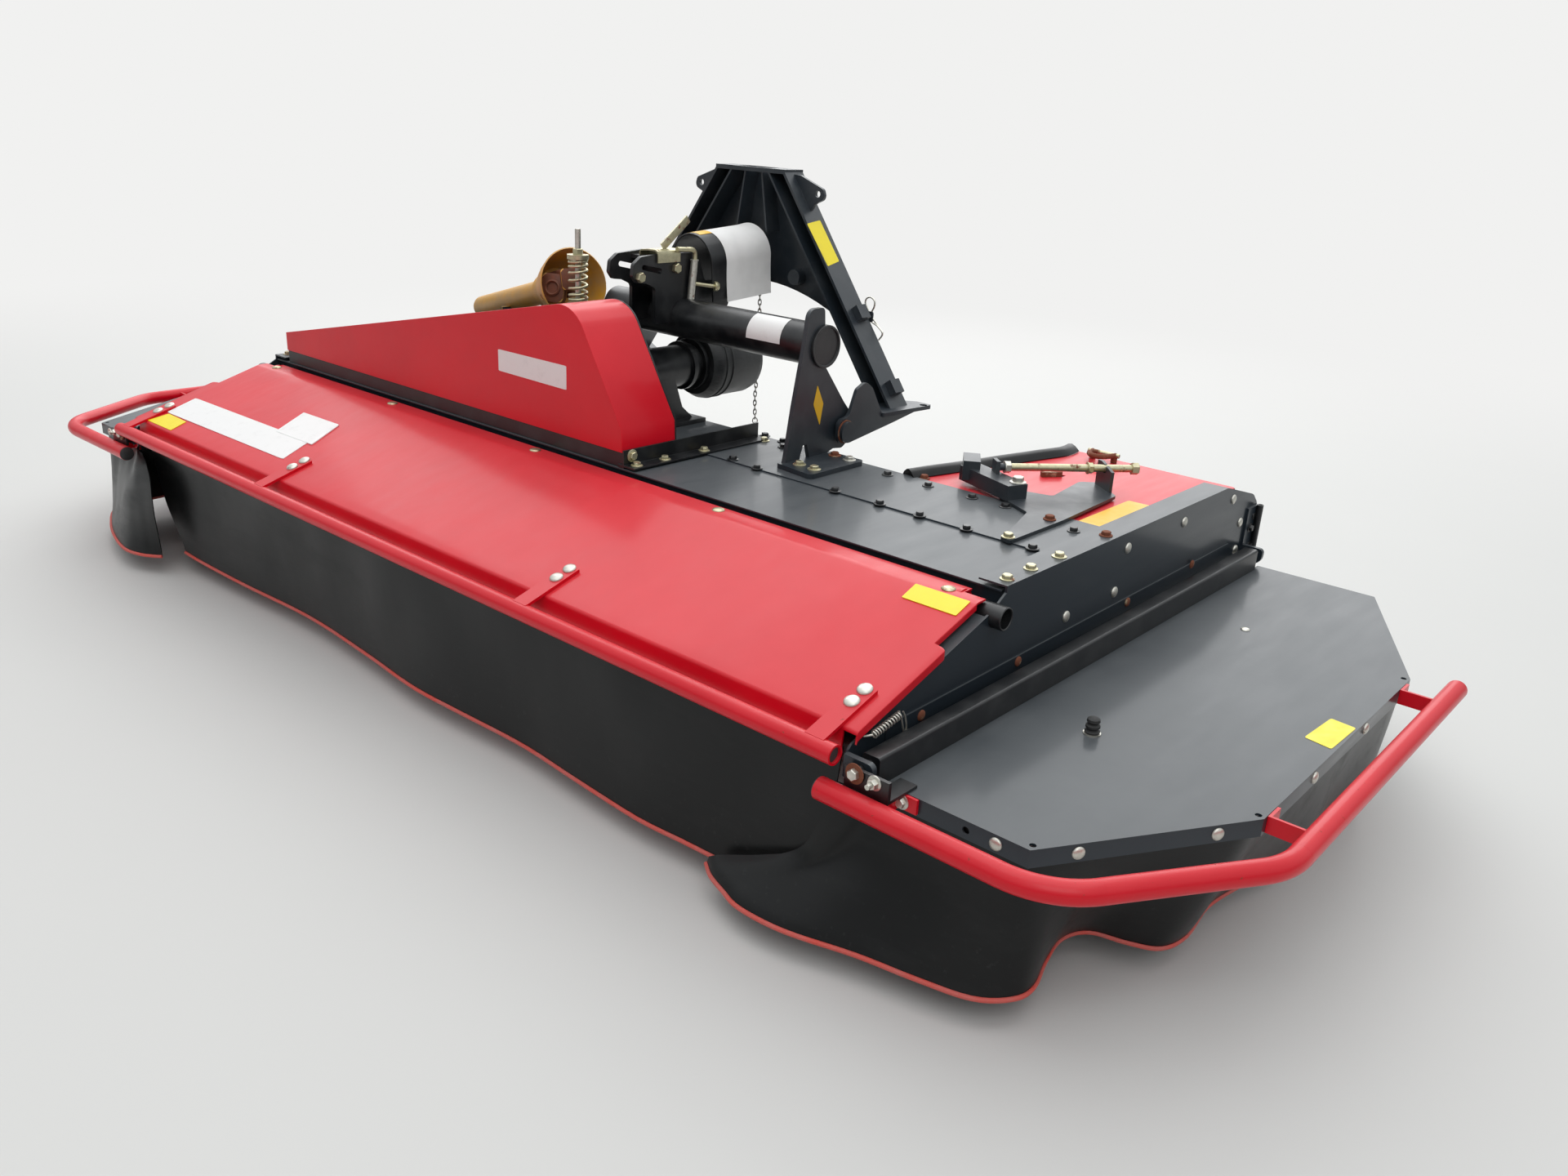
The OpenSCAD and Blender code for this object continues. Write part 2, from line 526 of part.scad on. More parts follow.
hood_line = [[strip_w, hood_h], [0, hood_h], [-hood_run, hood_h - hood_drop],
    [-hood_run - 4, hood_h - hood_drop - lip_h]];
module hood() color(red) from_crease() {
    along_x(-hood_half, hood_half, wall(hood_line, sheet_t));
    for (s = [-1, 1]) on_side(s) {
        along_x(hood_half - 1, hood_half + wing_w, wall([[-140, hood_z(-140)], [-hood_run,
            hood_z(-hood_run)]], sheet_t));
        along_x(hood_half + wing_w - 4, hood_half + wing_w, [[-140, hood_z(-140)], [-hood_run,
            hood_z(-hood_run)], [-hood_run, hood_z(-hood_run) - 18], [-152, hood_z(-152) - 18]]);
    }
    for (x = (hood_half - 59) * [-1, -0.5, 0, 0.5, 1]) difference() {
        union() {
            rod_x(x - 5, x + 5, hinge_y, hinge_z, hinge_d / 2 + 9, 48);
            box([x - 5, hinge_y - 26, hinge_z], [x + 5, hinge_y + 22, hood_h - 1]);
        }
        rod_x(x - 6, x + 6, hinge_y, hinge_z, hinge_d / 2 + run_fit, 64);
        box([x - 6, hinge_y - 60, hood_h - 0.5], [x + 6, hinge_y + 60, hood_h + 20]);
    }
}

module front_bar() color(red) from_crease() {
    difference() {
        rod_x(-hood_half - 24, hood_half + 24, bar_y, bar_z, bar_d / 2);
        for (s = [-1, 1]) on_side(s) rod_x(hood_half - 9, hood_half + 25, bar_y, bar_z, bar_d / 2 - 4);
    }
    for (x = [-hood_half + 23, -0.4 * hood_half, 0.4 * hood_half, hood_half - 23])
        along_x(x - 21, x + 21, [for (p = [[-300, gap], [bar_y - 2, gap], [bar_y - 2, gap + 7.3],
            [-300, gap + 7.3]]) [p[0], hood_z(p[0]) + p[1]]]);
}

module front_curtain() color(rubber) from_crease() along_y(-hood_run + 9, -hood_run + 13, [
    [-panel_x + 25, hood_h - 136], [-panel_x + 25, hood_h - 220], [-panel_x + 250, 60],
    [panel_x - 250, 60], [panel_x - 25, hood_h - 220], [panel_x - 25, hood_h - 136]]);

// side guards

guard_pts = [[guard_in, guard_front], [guard_x - 229, guard_front], [guard_x, 0],
    [guard_x, guard_rear - 475], [guard_x - 223, guard_rear], [guard_in, guard_rear]];
guard_edge = [for (i = [0:4]) guard_pts[i]];

module guard_plate() difference() {
    union() {
        translate([0, 0, guard_z - sheet_t]) linear_extrude(sheet_t) polygon(rounded(guard_pts, 3, 3));
        translate([0, 0, guard_z - skirt_h]) linear_extrude(skirt_h - 1) polygon(wall(guard_edge,
            sheet_t));
        box([guard_in, guard_front + 14, guard_z - 30], [guard_in + 4, guard_rear - 14, guard_z - 1]);
    }
    for (c = [[guard_x - 234, guard_front + 16], [guard_x - 12, 6], [guard_x - 12, guard_rear - 481]])
        translate([c[0], c[1], guard_z - 20]) cylinder(h = 30, r = 6, $fn = 24);
    rod_y(guard_x - 349, guard_front - 5, guard_front + 12, guard_z - 18, 7);
}
beam_in = guard_axis_x - 17;
beam_y = [-hood_run + 4, guard_rear - 38];
module guard_beam() {
    difference() {
        along_y(beam_y[0], beam_y[1], rounded([[beam_in, guard_z + gap], [beam_in + beam_w,
            guard_z + gap], [beam_in + beam_w, guard_axis_z + 20], [beam_in, guard_axis_z + 20]],
                [0, 0, 6, 6], 4));
        box([beam_in + 4, beam_y[0] + 6, guard_z - 1], [beam_in + beam_w - 4, beam_y[1] - 6,
            guard_axis_z + 16]);
    }
    rod_y(guard_axis_x, beam_y[0] - 41, beam_y[0] + 1, guard_axis_z, guard_pin_d / 2);
    rod_y(guard_axis_x, beam_y[1] - 1, beam_y[1] + 46, guard_axis_z, guard_pin_d / 2);
    box([guard_axis_x - 24, beam_y[0] - 39, guard_z + gap + 1], [guard_in + 56, beam_y[0] - 31,
        guard_axis_z + 8]);
    box([guard_in + 20, beam_y[0] - 39, guard_z + gap], [guard_in + 56, -345, guard_z + gap + 6]);
}
module guard_bar() {
    bent_tube([[guard_in - 76, guard_front - 75], [guard_x - 150, guard_front - 75],
        [guard_x + bar_off, -97], [guard_x + bar_off, guard_rear - 421]], guard_bar_z, guard_bar_d / 2,
            160);
    for (y = [16, guard_rear - 546]) {
        box([guard_x + gap, y, guard_bar_z - 20], [guard_x + bar_off - 18, y + 6, guard_bar_z + 12]);
        box([guard_x + gap, y, guard_bar_z - 20], [guard_x + gap + 6, y + 44, guard_bar_z + 12]);
    }
    box([guard_in + 38, guard_front - 57, guard_bar_z - 16], [guard_in + 44, guard_front - gap,
        guard_bar_z + 12]);
    box([guard_in + 4, guard_front - gap - 6, guard_bar_z - 16], [guard_in + 80, guard_front - gap,
        guard_bar_z + 12]);
}
curtain_path = [[guard_in - 287, -425], [guard_in - 62, -410], [guard_in, guard_front + 8],
    [guard_x - 236, guard_front + 8], [guard_x - 8, 4], [guard_x - 8, guard_rear - 480],
    [guard_x - 228, guard_rear - 8]];
module side_curtain() difference() {
    translate([0, 0, 60]) linear_extrude(guard_z - sheet_t - gap - 60) polygon(wall(curtain_path, 4));
    box([guard_in - 362, -460, guard_z - 18], [guard_in - 0.5, -350, guard_z + 22]);
    along_y(-460, -350, [[guard_in - 362, 60], [guard_in - 287, 60], [guard_in - 76, guard_z - 17],
        [guard_in - 76, guard_z + 52], [guard_in - 362, guard_z + 52]]);
}
module guard_plate_l() color(grey) from_crease() guard_plate();
module guard_beam_l() color(black) from_crease() guard_beam();
module guard_bar_l() color(red) from_crease() guard_bar();
module curtain_l() color(rubber) from_crease() side_curtain();
module guard_plate_r() color(grey) from_crease() on_side(-1) guard_plate();
module guard_beam_r() color(black) from_crease() on_side(-1) guard_beam();
module guard_bar_r() color(red) from_crease() on_side(-1) guard_bar();
module curtain_r() color(rubber) from_crease() on_side(-1) side_curtain();

// headstock: two channel arms, a web with an arched lower edge between them, ears and feet

lean = (head_base - head_top) / (head_z - head_foot_z);
// corner of an arm: t level distance in from its outer face, at height z
function arm_pt(t, z) = [head_top + lean * (head_z - z) - t, z];
module arm(t0, t1, z0, z1, y0, y1)
    along_y(y0, y1, [arm_pt(t0, z0), arm_pt(t0, z1), arm_pt(t1, z1), arm_pt(t1, z0)]);
module catch_block(z)
    translate([arm_pt(4, z)[0], head_y + 22, z]) rotate([0, atan(1 / lean), 0]) box([-20, 0, 0],
        [20, 40, 26]);

module headstock() color(grey) from_crease() {
    for (s = [-1, 1]) on_side(s) {
        difference() {
            arm(0, 68, head_foot_z - 2, head_z, head_y, head_y + head_w);
            arm(10, 60, head_foot_z - 20, head_z + 20, head_y - 1, head_y + head_w - 10);
        }
        difference() {
            along_y(head_y + 36, head_y + 46, rounded([arm_pt(5, head_z - 8), [head_top + 30, head_z - 9],
                [head_top + 114, head_z - 40], [head_top + 124, head_z - 66],
                    [head_top + 90, head_z - 80],
                arm_pt(5, head_z - 104)], [0, 4, 12, 16, 22, 0]));
            rod_y(head_top + 96, head_y, head_y + 100, head_z - 54, 9);
        }
        for (z = [hood_h + 335, hood_h + 150]) catch_block(z);
        along_x(bracket_x + 8, bracket_x + 18, rounded([[570, hood_h + 50], [570, hood_h + 112],
            [612, hood_h + 118], [640, hood_h + 186], [676, hood_h + 202], [706, hood_h + 182],
            [756, head_foot_z - 3], [938, head_foot_z - 3], [938, head_foot_z - 14], [815, hood_h + 74],
            [621, hood_h + 46]], [24, 20, 20, 16, 24, 16, 0, 0, 4, 60, 20]));
        difference() {
            translate([0, 0, head_foot_z - 11]) linear_extrude(11) polygon(rounded([
                [head_base - 90, head_y - 22], [bracket_x + 26, head_y - 60],
                    [bracket_x + 46, head_y + 140],
                [head_base - 10, head_y + 140], [head_base - 90, head_y + head_w + 12]],
                    [6, 6, 10, 10, 6]));
            translate([bracket_x + 32, head_y + 116, head_foot_z - 20]) cylinder(h = 30, r = 11,
                $fn = 32);
        }
        rod_x(bracket_x - 14, bracket_x + 9, pivot_y, pivot_z, pivot_d / 2);
        rod_x(bracket_x + 17, bracket_x + 30, pivot_y, pivot_z, 28);
        along_y(head_y + 16, head_y + head_w - 4, [[28, head_z - 3], [34, head_z - 3], [62, head_z - 170],
            [56, head_z - 170]]);
    }
    difference() {
        box([-head_top - 2, head_y - 1, head_z - 8], [head_top + 2, head_y + head_w + 1, head_z + 4]);
        box([-60, head_y + 12, head_z - 20], [60, head_y + head_w - 14, head_z + 20]);
    }
    along_y(head_y + head_w - 7, head_y + head_w - 2, concat([arm_pt(20, head_z - 4) * [[-1, 0], [0, 1]],
        arm_pt(30, hood_h + 290) * [[-1, 0], [0, 1]]], [for (x = [-340:40:340]) [x,
            hood_h + 384 - x * x * 0.0008]],
        [arm_pt(30, hood_h + 290), arm_pt(20, head_z - 4)]));
    rod_y(150, head_y + 40, head_y + head_w - 4, hood_h + 410, 22, 32);
}

// drive

module input_shaft() color(zinc) from_crease() {
    rod_y(0, 110, 612, input_z, shaft_d / 2);
    rod_y(0, 611, 740, input_z, input_d / 2, 48);
    pulley(0, input_z, pulley_r - 4);
}
// a belt pulley with five grooves, its hub and web turned in one outline
module pulley(x, z, r) translate([x, 115, z]) rotate([-90, 0, 0]) rotate_extrude($fn = 64) polygon(concat(
    [[0, 10], [34, 0], [40, 0], [44, 46], [r - 26, 46], [r - 22, 0], [r, 0]],
    [for (i = [0:4]) each [[r, 4 + i * 21], [r - 12, 10 + i * 21], [r - 12, 14 + i * 21],
        [r, 20 + i * 21]]],
    [[r, 110], [r - 22, 110], [r - 26, 64], [44, 64], [40, 110], [0, 110]]));
module driven_pulley() color(zinc) from_crease() {
    pulley(disc_x0, hood_h, driven_r - 4);
    rod_y(disc_x0, 224, 256, hood_h, 18, 32);
}

deck();
main_beam();
end_plates();
side_panel_l();
side_panel_r();
hinge_tube();
rear_panel_l();
rear_panel_r();
swath_boards();
swath_adjusters();
belt_cover();
belt_rail();
cross_tube();
bracket_l();
bracket_r();
gearbox();
shaft_guard();
latch_block();
latch_cover();
tensioner();
stowed_shaft();
end_gearbox();
cutter_bar();
skids();
hood();
front_bar();
front_curtain();
guard_plate_l();
guard_beam_l();
guard_bar_l();
curtain_l();
guard_plate_r();
guard_beam_r();
guard_bar_r();
curtain_r();
headstock();
input_shaft();
driven_pulley();
disc_1();
disc_2();
disc_3();
disc_4();
disc_5();
disc_6();
disc_7();
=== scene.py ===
import functools
import json
import math
import random

import bmesh
import bpy
from mathutils import Matrix, Vector, noise

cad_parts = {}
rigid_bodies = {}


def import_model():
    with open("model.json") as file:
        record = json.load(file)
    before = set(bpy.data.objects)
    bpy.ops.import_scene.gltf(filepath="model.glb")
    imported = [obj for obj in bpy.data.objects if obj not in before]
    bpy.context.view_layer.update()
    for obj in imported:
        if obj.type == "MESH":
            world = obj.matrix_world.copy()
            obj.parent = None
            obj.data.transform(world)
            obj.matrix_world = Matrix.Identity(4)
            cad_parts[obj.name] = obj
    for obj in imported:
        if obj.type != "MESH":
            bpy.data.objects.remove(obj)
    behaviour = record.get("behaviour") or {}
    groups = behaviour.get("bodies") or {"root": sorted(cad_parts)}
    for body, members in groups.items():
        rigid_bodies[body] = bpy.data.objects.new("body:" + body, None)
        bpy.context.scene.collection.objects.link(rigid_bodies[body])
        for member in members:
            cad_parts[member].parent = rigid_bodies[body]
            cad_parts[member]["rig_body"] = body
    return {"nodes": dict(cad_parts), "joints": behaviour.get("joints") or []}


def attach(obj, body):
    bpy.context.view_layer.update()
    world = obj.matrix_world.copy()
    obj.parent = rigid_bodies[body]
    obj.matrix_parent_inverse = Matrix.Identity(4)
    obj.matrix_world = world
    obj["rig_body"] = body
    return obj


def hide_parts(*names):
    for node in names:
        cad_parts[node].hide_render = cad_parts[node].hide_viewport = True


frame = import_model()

bl_info = {
    "name": "Front disc mower",
    "version": (1, 0, 0),
    "blender": (4, 5, 0),
    "location": "View3D > Sidebar > Mower",
    "description": "Dresses a front-mounted disc mower: paint, rubber curtains, fasteners, springs and stage",
    "category": "Object",
}

MM = 0.001
HINGES = {joint["name"]: joint["pos_m"] for joint in frame["joints"]}
CREASE_Y = HINGES["hood_hinge"][1] - 34 * MM  # the hood's crease, from which lengths along the machine run
HOOD_TOP, HOOD_RUN, HOOD_DROP = 560, 395, 125  # height of the hood's crease, and its front slope from there, in mm
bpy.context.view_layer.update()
DECK = 570  # top of the front deck sheet and of the rear panels, mm above the ground
REAR_DECK = 574  # top of the rear deck sheet
FLANGE = 582.4  # top of the side panels' flanges and of the plates on the deck


def linear(hex_code):
    """A colour written as an sRGB hex value, in the linear values that Blender's sockets take."""
    parts = [int(hex_code[i:i + 2], 16) / 255 for i in (1, 3, 5)]
    return tuple(p / 12.92 if p <= 0.04045 else ((p + 0.055) / 1.055) ** 2.4 for p in parts)


def colour_setting(name, description, hex_code):
    return bpy.props.FloatVectorProperty(
        name=name, description=description, subtype="COLOR", size=3, min=0, max=1, default=linear(hex_code)
    )


def length_setting(name, description, millimetres):
    return bpy.props.FloatProperty(
        name=name, description=description, default=millimetres * MM, min=0, unit="LENGTH", precision=4
    )


class MowerSizes(bpy.types.PropertyGroup):
    edge: length_setting("Sheet edge", "Rounding of the cut and folded edges of sheets", 1.2)
    casting_edge: length_setting("Casting edge", "Rounding of the edges of welded and cast pieces", 2.5)
    hood_wave: length_setting("Hood waviness", "How far the hood's sheet strays from flat", 1.6)
    curtain: length_setting("Curtain thickness", "Thickness of the rubber curtains", 3)
    piping: length_setting("Piping", "Radius of the piping along the hems", 5)
    label: length_setting("Label thickness", "How far a label stands proud", 0.4)
    spring_wire: length_setting("Spring wire", "Wire diameter of the belt tensioner's spring", 8)


class MowerColours(bpy.types.PropertyGroup):
    red: colour_setting("Red", "Enamel of the hood, belt cover, rear panels and bars", "#D6041F")
    anthracite: colour_setting("Anthracite", "Paint of the deck, side panels, guards and headstock", "#293138")
    black: colour_setting("Black", "Paint of the beams, tubes and housings", "#0D0F12")
    rubber: colour_setting("Rubber", "Rubber sheet of the curtains", "#08090A")
    piping: colour_setting("Piping", "Piping along the hems", "#D4483A")
    yellow: colour_setting("Label yellow", "Vinyl of the blank labels", "#F2DE10")
    orange: colour_setting("Label orange", "Vinyl of the blank labels on panel, bracket and cover", "#EDB81A")
    white: colour_setting("Label white", "Vinyl and paper of the blank white labels", "#ECECEA")
    ochre: colour_setting("Guard ochre", "Plastic of the drive shaft's guard", "#DCA02A")
    zinc: colour_setting("Zinc", "Bare zinc of bolts and springs", "#D6D4CA")
    steel: colour_setting("Steel", "Bare steel of the cutter bar, discs and knives", "#6F6F71")
    chromate: colour_setting("Chromate", "Yellow chromate on bolt heads and rods", "#C9C3A2")
    rust: colour_setting("Rust", "Rust on bolts, the yoke and worn edges", "#7A4630")
    # on the enamels this colour on level faces also stands in for a painted sheen of the sky
    dust: colour_setting("Dust", "Road dust that settles on level faces", "#A4A6A4")
    floor: colour_setting("Floor", "Floor of the studio", "#D4D4D1")
    backdrop: colour_setting("Backdrop", "Plain backdrop that the camera sees behind the floor", "#F1F1F0")


def sizes():
    return bpy.context.scene.mower_sizes


def colours():
    return bpy.context.scene.mower_colours


# ---- materials

MULTIPLIED = {"operation": "MULTIPLY"}
ADDED = {"operation": "ADD"}
AS_COLOURS = {"output": 2, "data_type": "RGBA"}  # for a Mix node, whose inputs 6 and 7 are the two colours


def fill(tree, node, inputs):
    """Fills or links a node's inputs, given as {socket: value or output} or in the order of the sockets."""
    for socket, value in inputs.items() if isinstance(inputs, dict) else enumerate(inputs):
        if isinstance(value, bpy.types.NodeSocket):
            tree.links.new(value, node.inputs[socket])
        else:
            node.inputs[socket].default_value = value


def add_node(tree, kind, inputs=(), output=0, **settings):
    """Adds a node with its settings and inputs, and gives its output."""
    made = tree.nodes.new("ShaderNode" + kind)
    for name, value in settings.items():
        setattr(made, name, value)
    fill(tree, made, inputs)
    return made.outputs[output] if len(made.outputs) else None


def material(name, build, *details):
    """The material of that name, made on first use: build adds its nodes and gives the shader's inputs."""
    found = bpy.data.materials.get(name)
    if not found:
        found = bpy.data.materials.new(name)
        found.use_nodes = True
        tree = found.node_tree
        fill(tree, tree.nodes["Principled BSDF"], build(functools.partial(add_node, tree), *details))
    return found


def shade(colour, factor=1.0):
    """The colour made lighter or darker, with alpha, as a socket takes it."""
    return (*(min(1.0, c * factor) for c in colour), 1.0)


def dusty(factor):
    return shade(colours().dust, factor)


def grain(millimetres):
    """The scale of a pattern whose blotches are about that wide."""
    return 1 / (millimetres * MM)


def enamel_on_sheet(add, colour, roughness, dust_and_sheen_share, wave_mm, chipped=0.0):
    """Sprayed and baked enamel on sheet steel: a clear gloss over a deep colour, with a faint orange peel, slow
    waves of the sheet under it, a film of dust on the level faces that also lightens them as a painted sheen of the
    sky, and, on the bars, chips down to rust."""
    place = add("TexCoord", output="Object")
    up = add("SeparateXYZ", (add("TexCoord", output="Normal"),), "Z")
    blotch = add("TexNoise", {"Vector": place, "Scale": grain(260), "Detail": 4, "Roughness": 0.55})
    streak = add("TexNoise", {"Vector": add("Mapping", {"Vector": place, "Scale": (1.0, 0.16, 1.0)}),
                              "Scale": grain(38), "Detail": 5, "Roughness": 0.65})
    patchy = add("Math", (add("MapRange", (blotch, 0.3, 0.75, 0.5)), add("MapRange", (streak, 0.3, 0.8, 0.7))),
                 **MULTIPLIED)
    # mask of the level faces: real dust, and also painted sheen of the sky that makes the tops lighter
    dust_and_sheen = add("Math", (add("MapRange", (up, 0.15, 0.95)), patchy), **MULTIPLIED)
    painted = add("Mix", {0: add("MapRange", (blotch, 0.3, 0.7)), 6: shade(colour, 0.94), 7: shade(colour, 1.06)},
                  **AS_COLOURS)
    # the dust colour laid on level faces, partly dust and partly a painted sky sheen
    painted = add("Mix", {0: add("Math", (dust_and_sheen, dust_and_sheen_share), **MULTIPLIED), 6: painted, 7: dusty(1)}, **AS_COLOURS)
    dull = add("Math", (add("Math", (dust_and_sheen, 0.25), **MULTIPLIED),
                        add("MapRange", (streak, 0.25, 0.75, roughness - 0.04, roughness + 0.06))), **ADDED)
    if chipped:
        near_end = add("MapRange", (add("SeparateXYZ", (place,), "X"), 0.6, 1.4, 0.0, 0.05))
        flakes = add("TexNoise", {"Vector": place, "Scale": grain(14), "Detail": 4, "Roughness": 0.7})
        chips = add("MapRange", (add("Math", (flakes, near_end), **ADDED), 0.735, 0.75))
        painted = add("Mix", {0: add("Math", (chips, chipped), **MULTIPLIED), 6: painted, 7: shade(colours().rust)},
                      **AS_COLOURS)
        dull = add("Math", (dull, add("Math", (chips, 0.4), **MULTIPLIED)), **ADDED)
    swell = add("TexNoise", {"Vector": place, "Scale": grain(420), "Detail": 1, "Roughness": 0.55})
    waves = add("Bump", {"Height": swell, "Distance": wave_mm * MM, "Strength": 0.6})
    peel = add("TexNoise", {"Vector": place, "Scale": grain(2.2), "Detail": 0, "Roughness": 0.55})
    return {
        "Base Color": painted, "Roughness": dull, "IOR": 1.5, "Specular IOR Level": 0.25,
        "Coat Weight": 0.25, "Coat Roughness": 0.14, "Coat Normal": waves,
        "Normal": add("Bump", {"Height": peel, "Distance": 0.03 * MM, "Strength": 0.05, "Normal": waves}),
    }


def chassis_paint(add, colour):
    """Semi-gloss chassis paint on welded steel: thicker and duller than enamel, with grime in blotches and
    small chips that show grey primer."""
    place = add("TexCoord", output="Object")
    grime = add("TexNoise", {"Vector": place, "Scale": grain(90), "Detail": 5, "Roughness": 0.6})
    flakes = add("TexNoise", {"Vector": place, "Scale": grain(16), "Detail": 3, "Roughness": 0.7})
    chips = add("Math", (add("MapRange", (flakes, 0.75, 0.77)), 0.5), **MULTIPLIED)
    grimy = add("Mix", {0: add("MapRange", (grime, 0.45, 0.8, 0, 0.16)), 6: shade(colour), 7: dusty(0.5)},
                **AS_COLOURS)
    film = add("TexNoise", {"Vector": place, "Scale": grain(3), "Detail": 2, "Roughness": 0.55})
    return {
        "Base Color": add("Mix", {0: chips, 6: grimy, 7: dusty(0.55)}, **AS_COLOURS),
        "Roughness": add("MapRange", (grime, 0.3, 0.75, 0.31, 0.52)),
        "Normal": add("Bump", {"Height": film, "Distance": 0.1 * MM, "Strength": 0.35}),
        "Coat Weight": 0.15, "Coat Roughness": 0.2,
    }


def sheet_rubber(add, colour):
    """Calendered rubber sheet: near black with a soft gloss, faint drawn lines from the rollers, chalky scuffs,
    and dried splashes near the hem."""
    place = add("TexCoord", output="Object")
    low = add("MapRange", (add("SeparateXYZ", (place,), "Z"), 0.26, 0.04))
    chalk = add("TexNoise", {"Vector": add("Mapping", {"Vector": place, "Scale": (0.2, 1.0, 1.0)}),
                             "Scale": grain(70), "Detail": 6, "Roughness": 0.7})
    scuff = add("MapRange", (chalk, 0.5, 0.85))
    lines = add("TexNoise", {"Vector": add("Mapping", {"Vector": place, "Scale": (0.03, 0.03, 1.0)}),
                             "Scale": grain(9), "Detail": 4, "Roughness": 0.6})
    drops = add("TexNoise", {"Vector": place, "Scale": grain(16), "Detail": 4, "Roughness": 0.7})
    soiled = add("Math", (add("MapRange", (drops, 0.6, 0.85)), add("MapRange", (low, 0, 1, 0.0, 0.22))), **MULTIPLIED)
    scuffed = add("Mix", {0: add("Math", (scuff, 0.07), **MULTIPLIED), 6: shade(colour), 7: dusty(0.3)}, **AS_COLOURS)
    drawn = add("Bump", {"Height": lines, "Distance": 0.35 * MM, "Strength": 0.4})
    swell = add("TexNoise", {"Vector": place, "Scale": grain(90), "Detail": 1, "Roughness": 0.55})
    return {
        "Base Color": add("Mix", {0: soiled, 6: scuffed, 7: dusty(0.35)}, **AS_COLOURS),
        "Roughness": add("MapRange", (scuff, 0, 1, 0.34, 0.5)), "Specular IOR Level": 0.3,
        "Normal": add("Bump", {"Height": swell, "Distance": 2.0 * MM, "Strength": 0.3, "Normal": drawn}),
    }


def plated_steel(add, colour, rusted):
    """Zinc-plated steel: metallic and slightly clouded, with rust where the plating has gone."""
    place = add("TexCoord", output="Object")
    cloud = add("TexNoise", {"Vector": place, "Scale": grain(9), "Detail": 3, "Roughness": 0.55})
    bloom = add("TexNoise", {"Vector": place, "Scale": grain(26), "Detail": 5, "Roughness": 0.65})
    rust = add("MapRange", (bloom, 0.62 - rusted * 0.5, 0.7 - rusted * 0.35))
    clouded = add("Mix", {0: add("MapRange", (cloud, 0.3, 0.7)), 6: shade(colour, 0.8), 7: shade(colour)},
                  **AS_COLOURS)
    return {
        "Base Color": add("Mix", {0: rust, 6: clouded, 7: shade(colours().rust)}, **AS_COLOURS),
        "Metallic": add("MapRange", (rust, 0, 1, 0.85, 0.1)),
        "Roughness": add("MapRange", (rust, 0, 1, 0.38, 0.85)),
        "Normal": add("Bump", {"Height": cloud, "Distance": 0.3 * MM, "Strength": 0.4}),
    }


def rough_iron(add, colour, rusted):
    """Forged or cast iron left outdoors: brown-grey with a rough skin, whose pits are drawn coarser than they are, so
    that they show."""
    place = add("TexCoord", output="Object")
    cloud = add("TexNoise", {"Vector": place, "Scale": grain(18), "Detail": 5, "Roughness": 0.65})
    pits = add("TexNoise", {"Vector": place, "Scale": grain(3), "Detail": 3, "Roughness": 0.55})
    rust = add("MapRange", (cloud, 0.35, 0.65, 0, rusted))
    return {
        "Base Color": add("Mix", {0: rust, 6: shade(colour), 7: shade(colours().rust)}, **AS_COLOURS),
        "Roughness": add("MapRange", (cloud, 0.3, 0.7, 0.5, 0.85)),
        "Normal": add("Bump", {"Height": pits, "Distance": 0.4 * MM, "Strength": 0.6}),
    }


def moulded_plastic(add, colour, roughness, sun):
    """Injection-moulded plastic, bleached and scuffed by the weather. The texture of its mould is drawn coarser than
    it is, so that it shows."""
    place = add("TexCoord", output="Object")
    cloud = add("TexNoise", {"Vector": place, "Scale": grain(60), "Detail": 5, "Roughness": 0.6})
    mould = add("TexNoise", {"Vector": place, "Scale": grain(2.5), "Detail": 2, "Roughness": 0.55})
    bleached = add("MapRange", (cloud, 0.3, 0.75, 0, sun))
    return {
        "Base Color": add("Mix", {0: bleached, 6: shade(colour), 7: dusty(0.9)}, **AS_COLOURS),
        "Roughness": add("MapRange", (cloud, 0.3, 0.7, roughness - 0.05, roughness + 0.15)),
        "Normal": add("Bump", {"Height": mould, "Distance": 0.08 * MM, "Strength": 0.4}),
    }


def vinyl_film(add, colour):
    """Printed vinyl film left blank: flat colour with a soft gloss and a little grime."""
    grime = add("TexNoise", {"Vector": add("TexCoord", output="Object"), "Scale": grain(30), "Detail": 5,
                             "Roughness": 0.7})
    grimy = add("MapRange", (grime, 0.55, 0.85, 0, 0.2))
    return {
        "Base Color": add("Mix", {0: grimy, 6: shade(colour), 7: dusty(0.7)}, **AS_COLOURS),
        "Roughness": add("MapRange", (grime, 0.3, 0.7, 0.32, 0.5)),
    }


def office_paper(add, colour):
    """A blank sheet of office paper in the open: matt and white, cockled by damp."""
    cockle = add("TexNoise", {"Vector": add("TexCoord", output="Object"), "Scale": grain(55), "Detail": 2,
                              "Roughness": 0.5})
    damp = add("MapRange", (cockle, 0.4, 0.7))
    return {
        "Base Color": add("Mix", {0: damp, 6: shade(colour), 7: shade(colour, 0.93)}, **AS_COLOURS),
        "Roughness": 0.75, "Normal": add("Bump", {"Height": cockle, "Distance": 1.2 * MM, "Strength": 0.5}),
    }


def floor_paint(add, colour):
    """Matt floor paint with the faintest mottling."""
    mottle = add("TexNoise", {"Vector": add("TexCoord", output="Object"), "Scale": grain(900), "Detail": 4,
                              "Roughness": 0.55})
    return {"Base Color": add("Mix", {0: mottle, 6: shade(colour, 0.97), 7: shade(colour)}, **AS_COLOURS),
            "Roughness": 0.8}


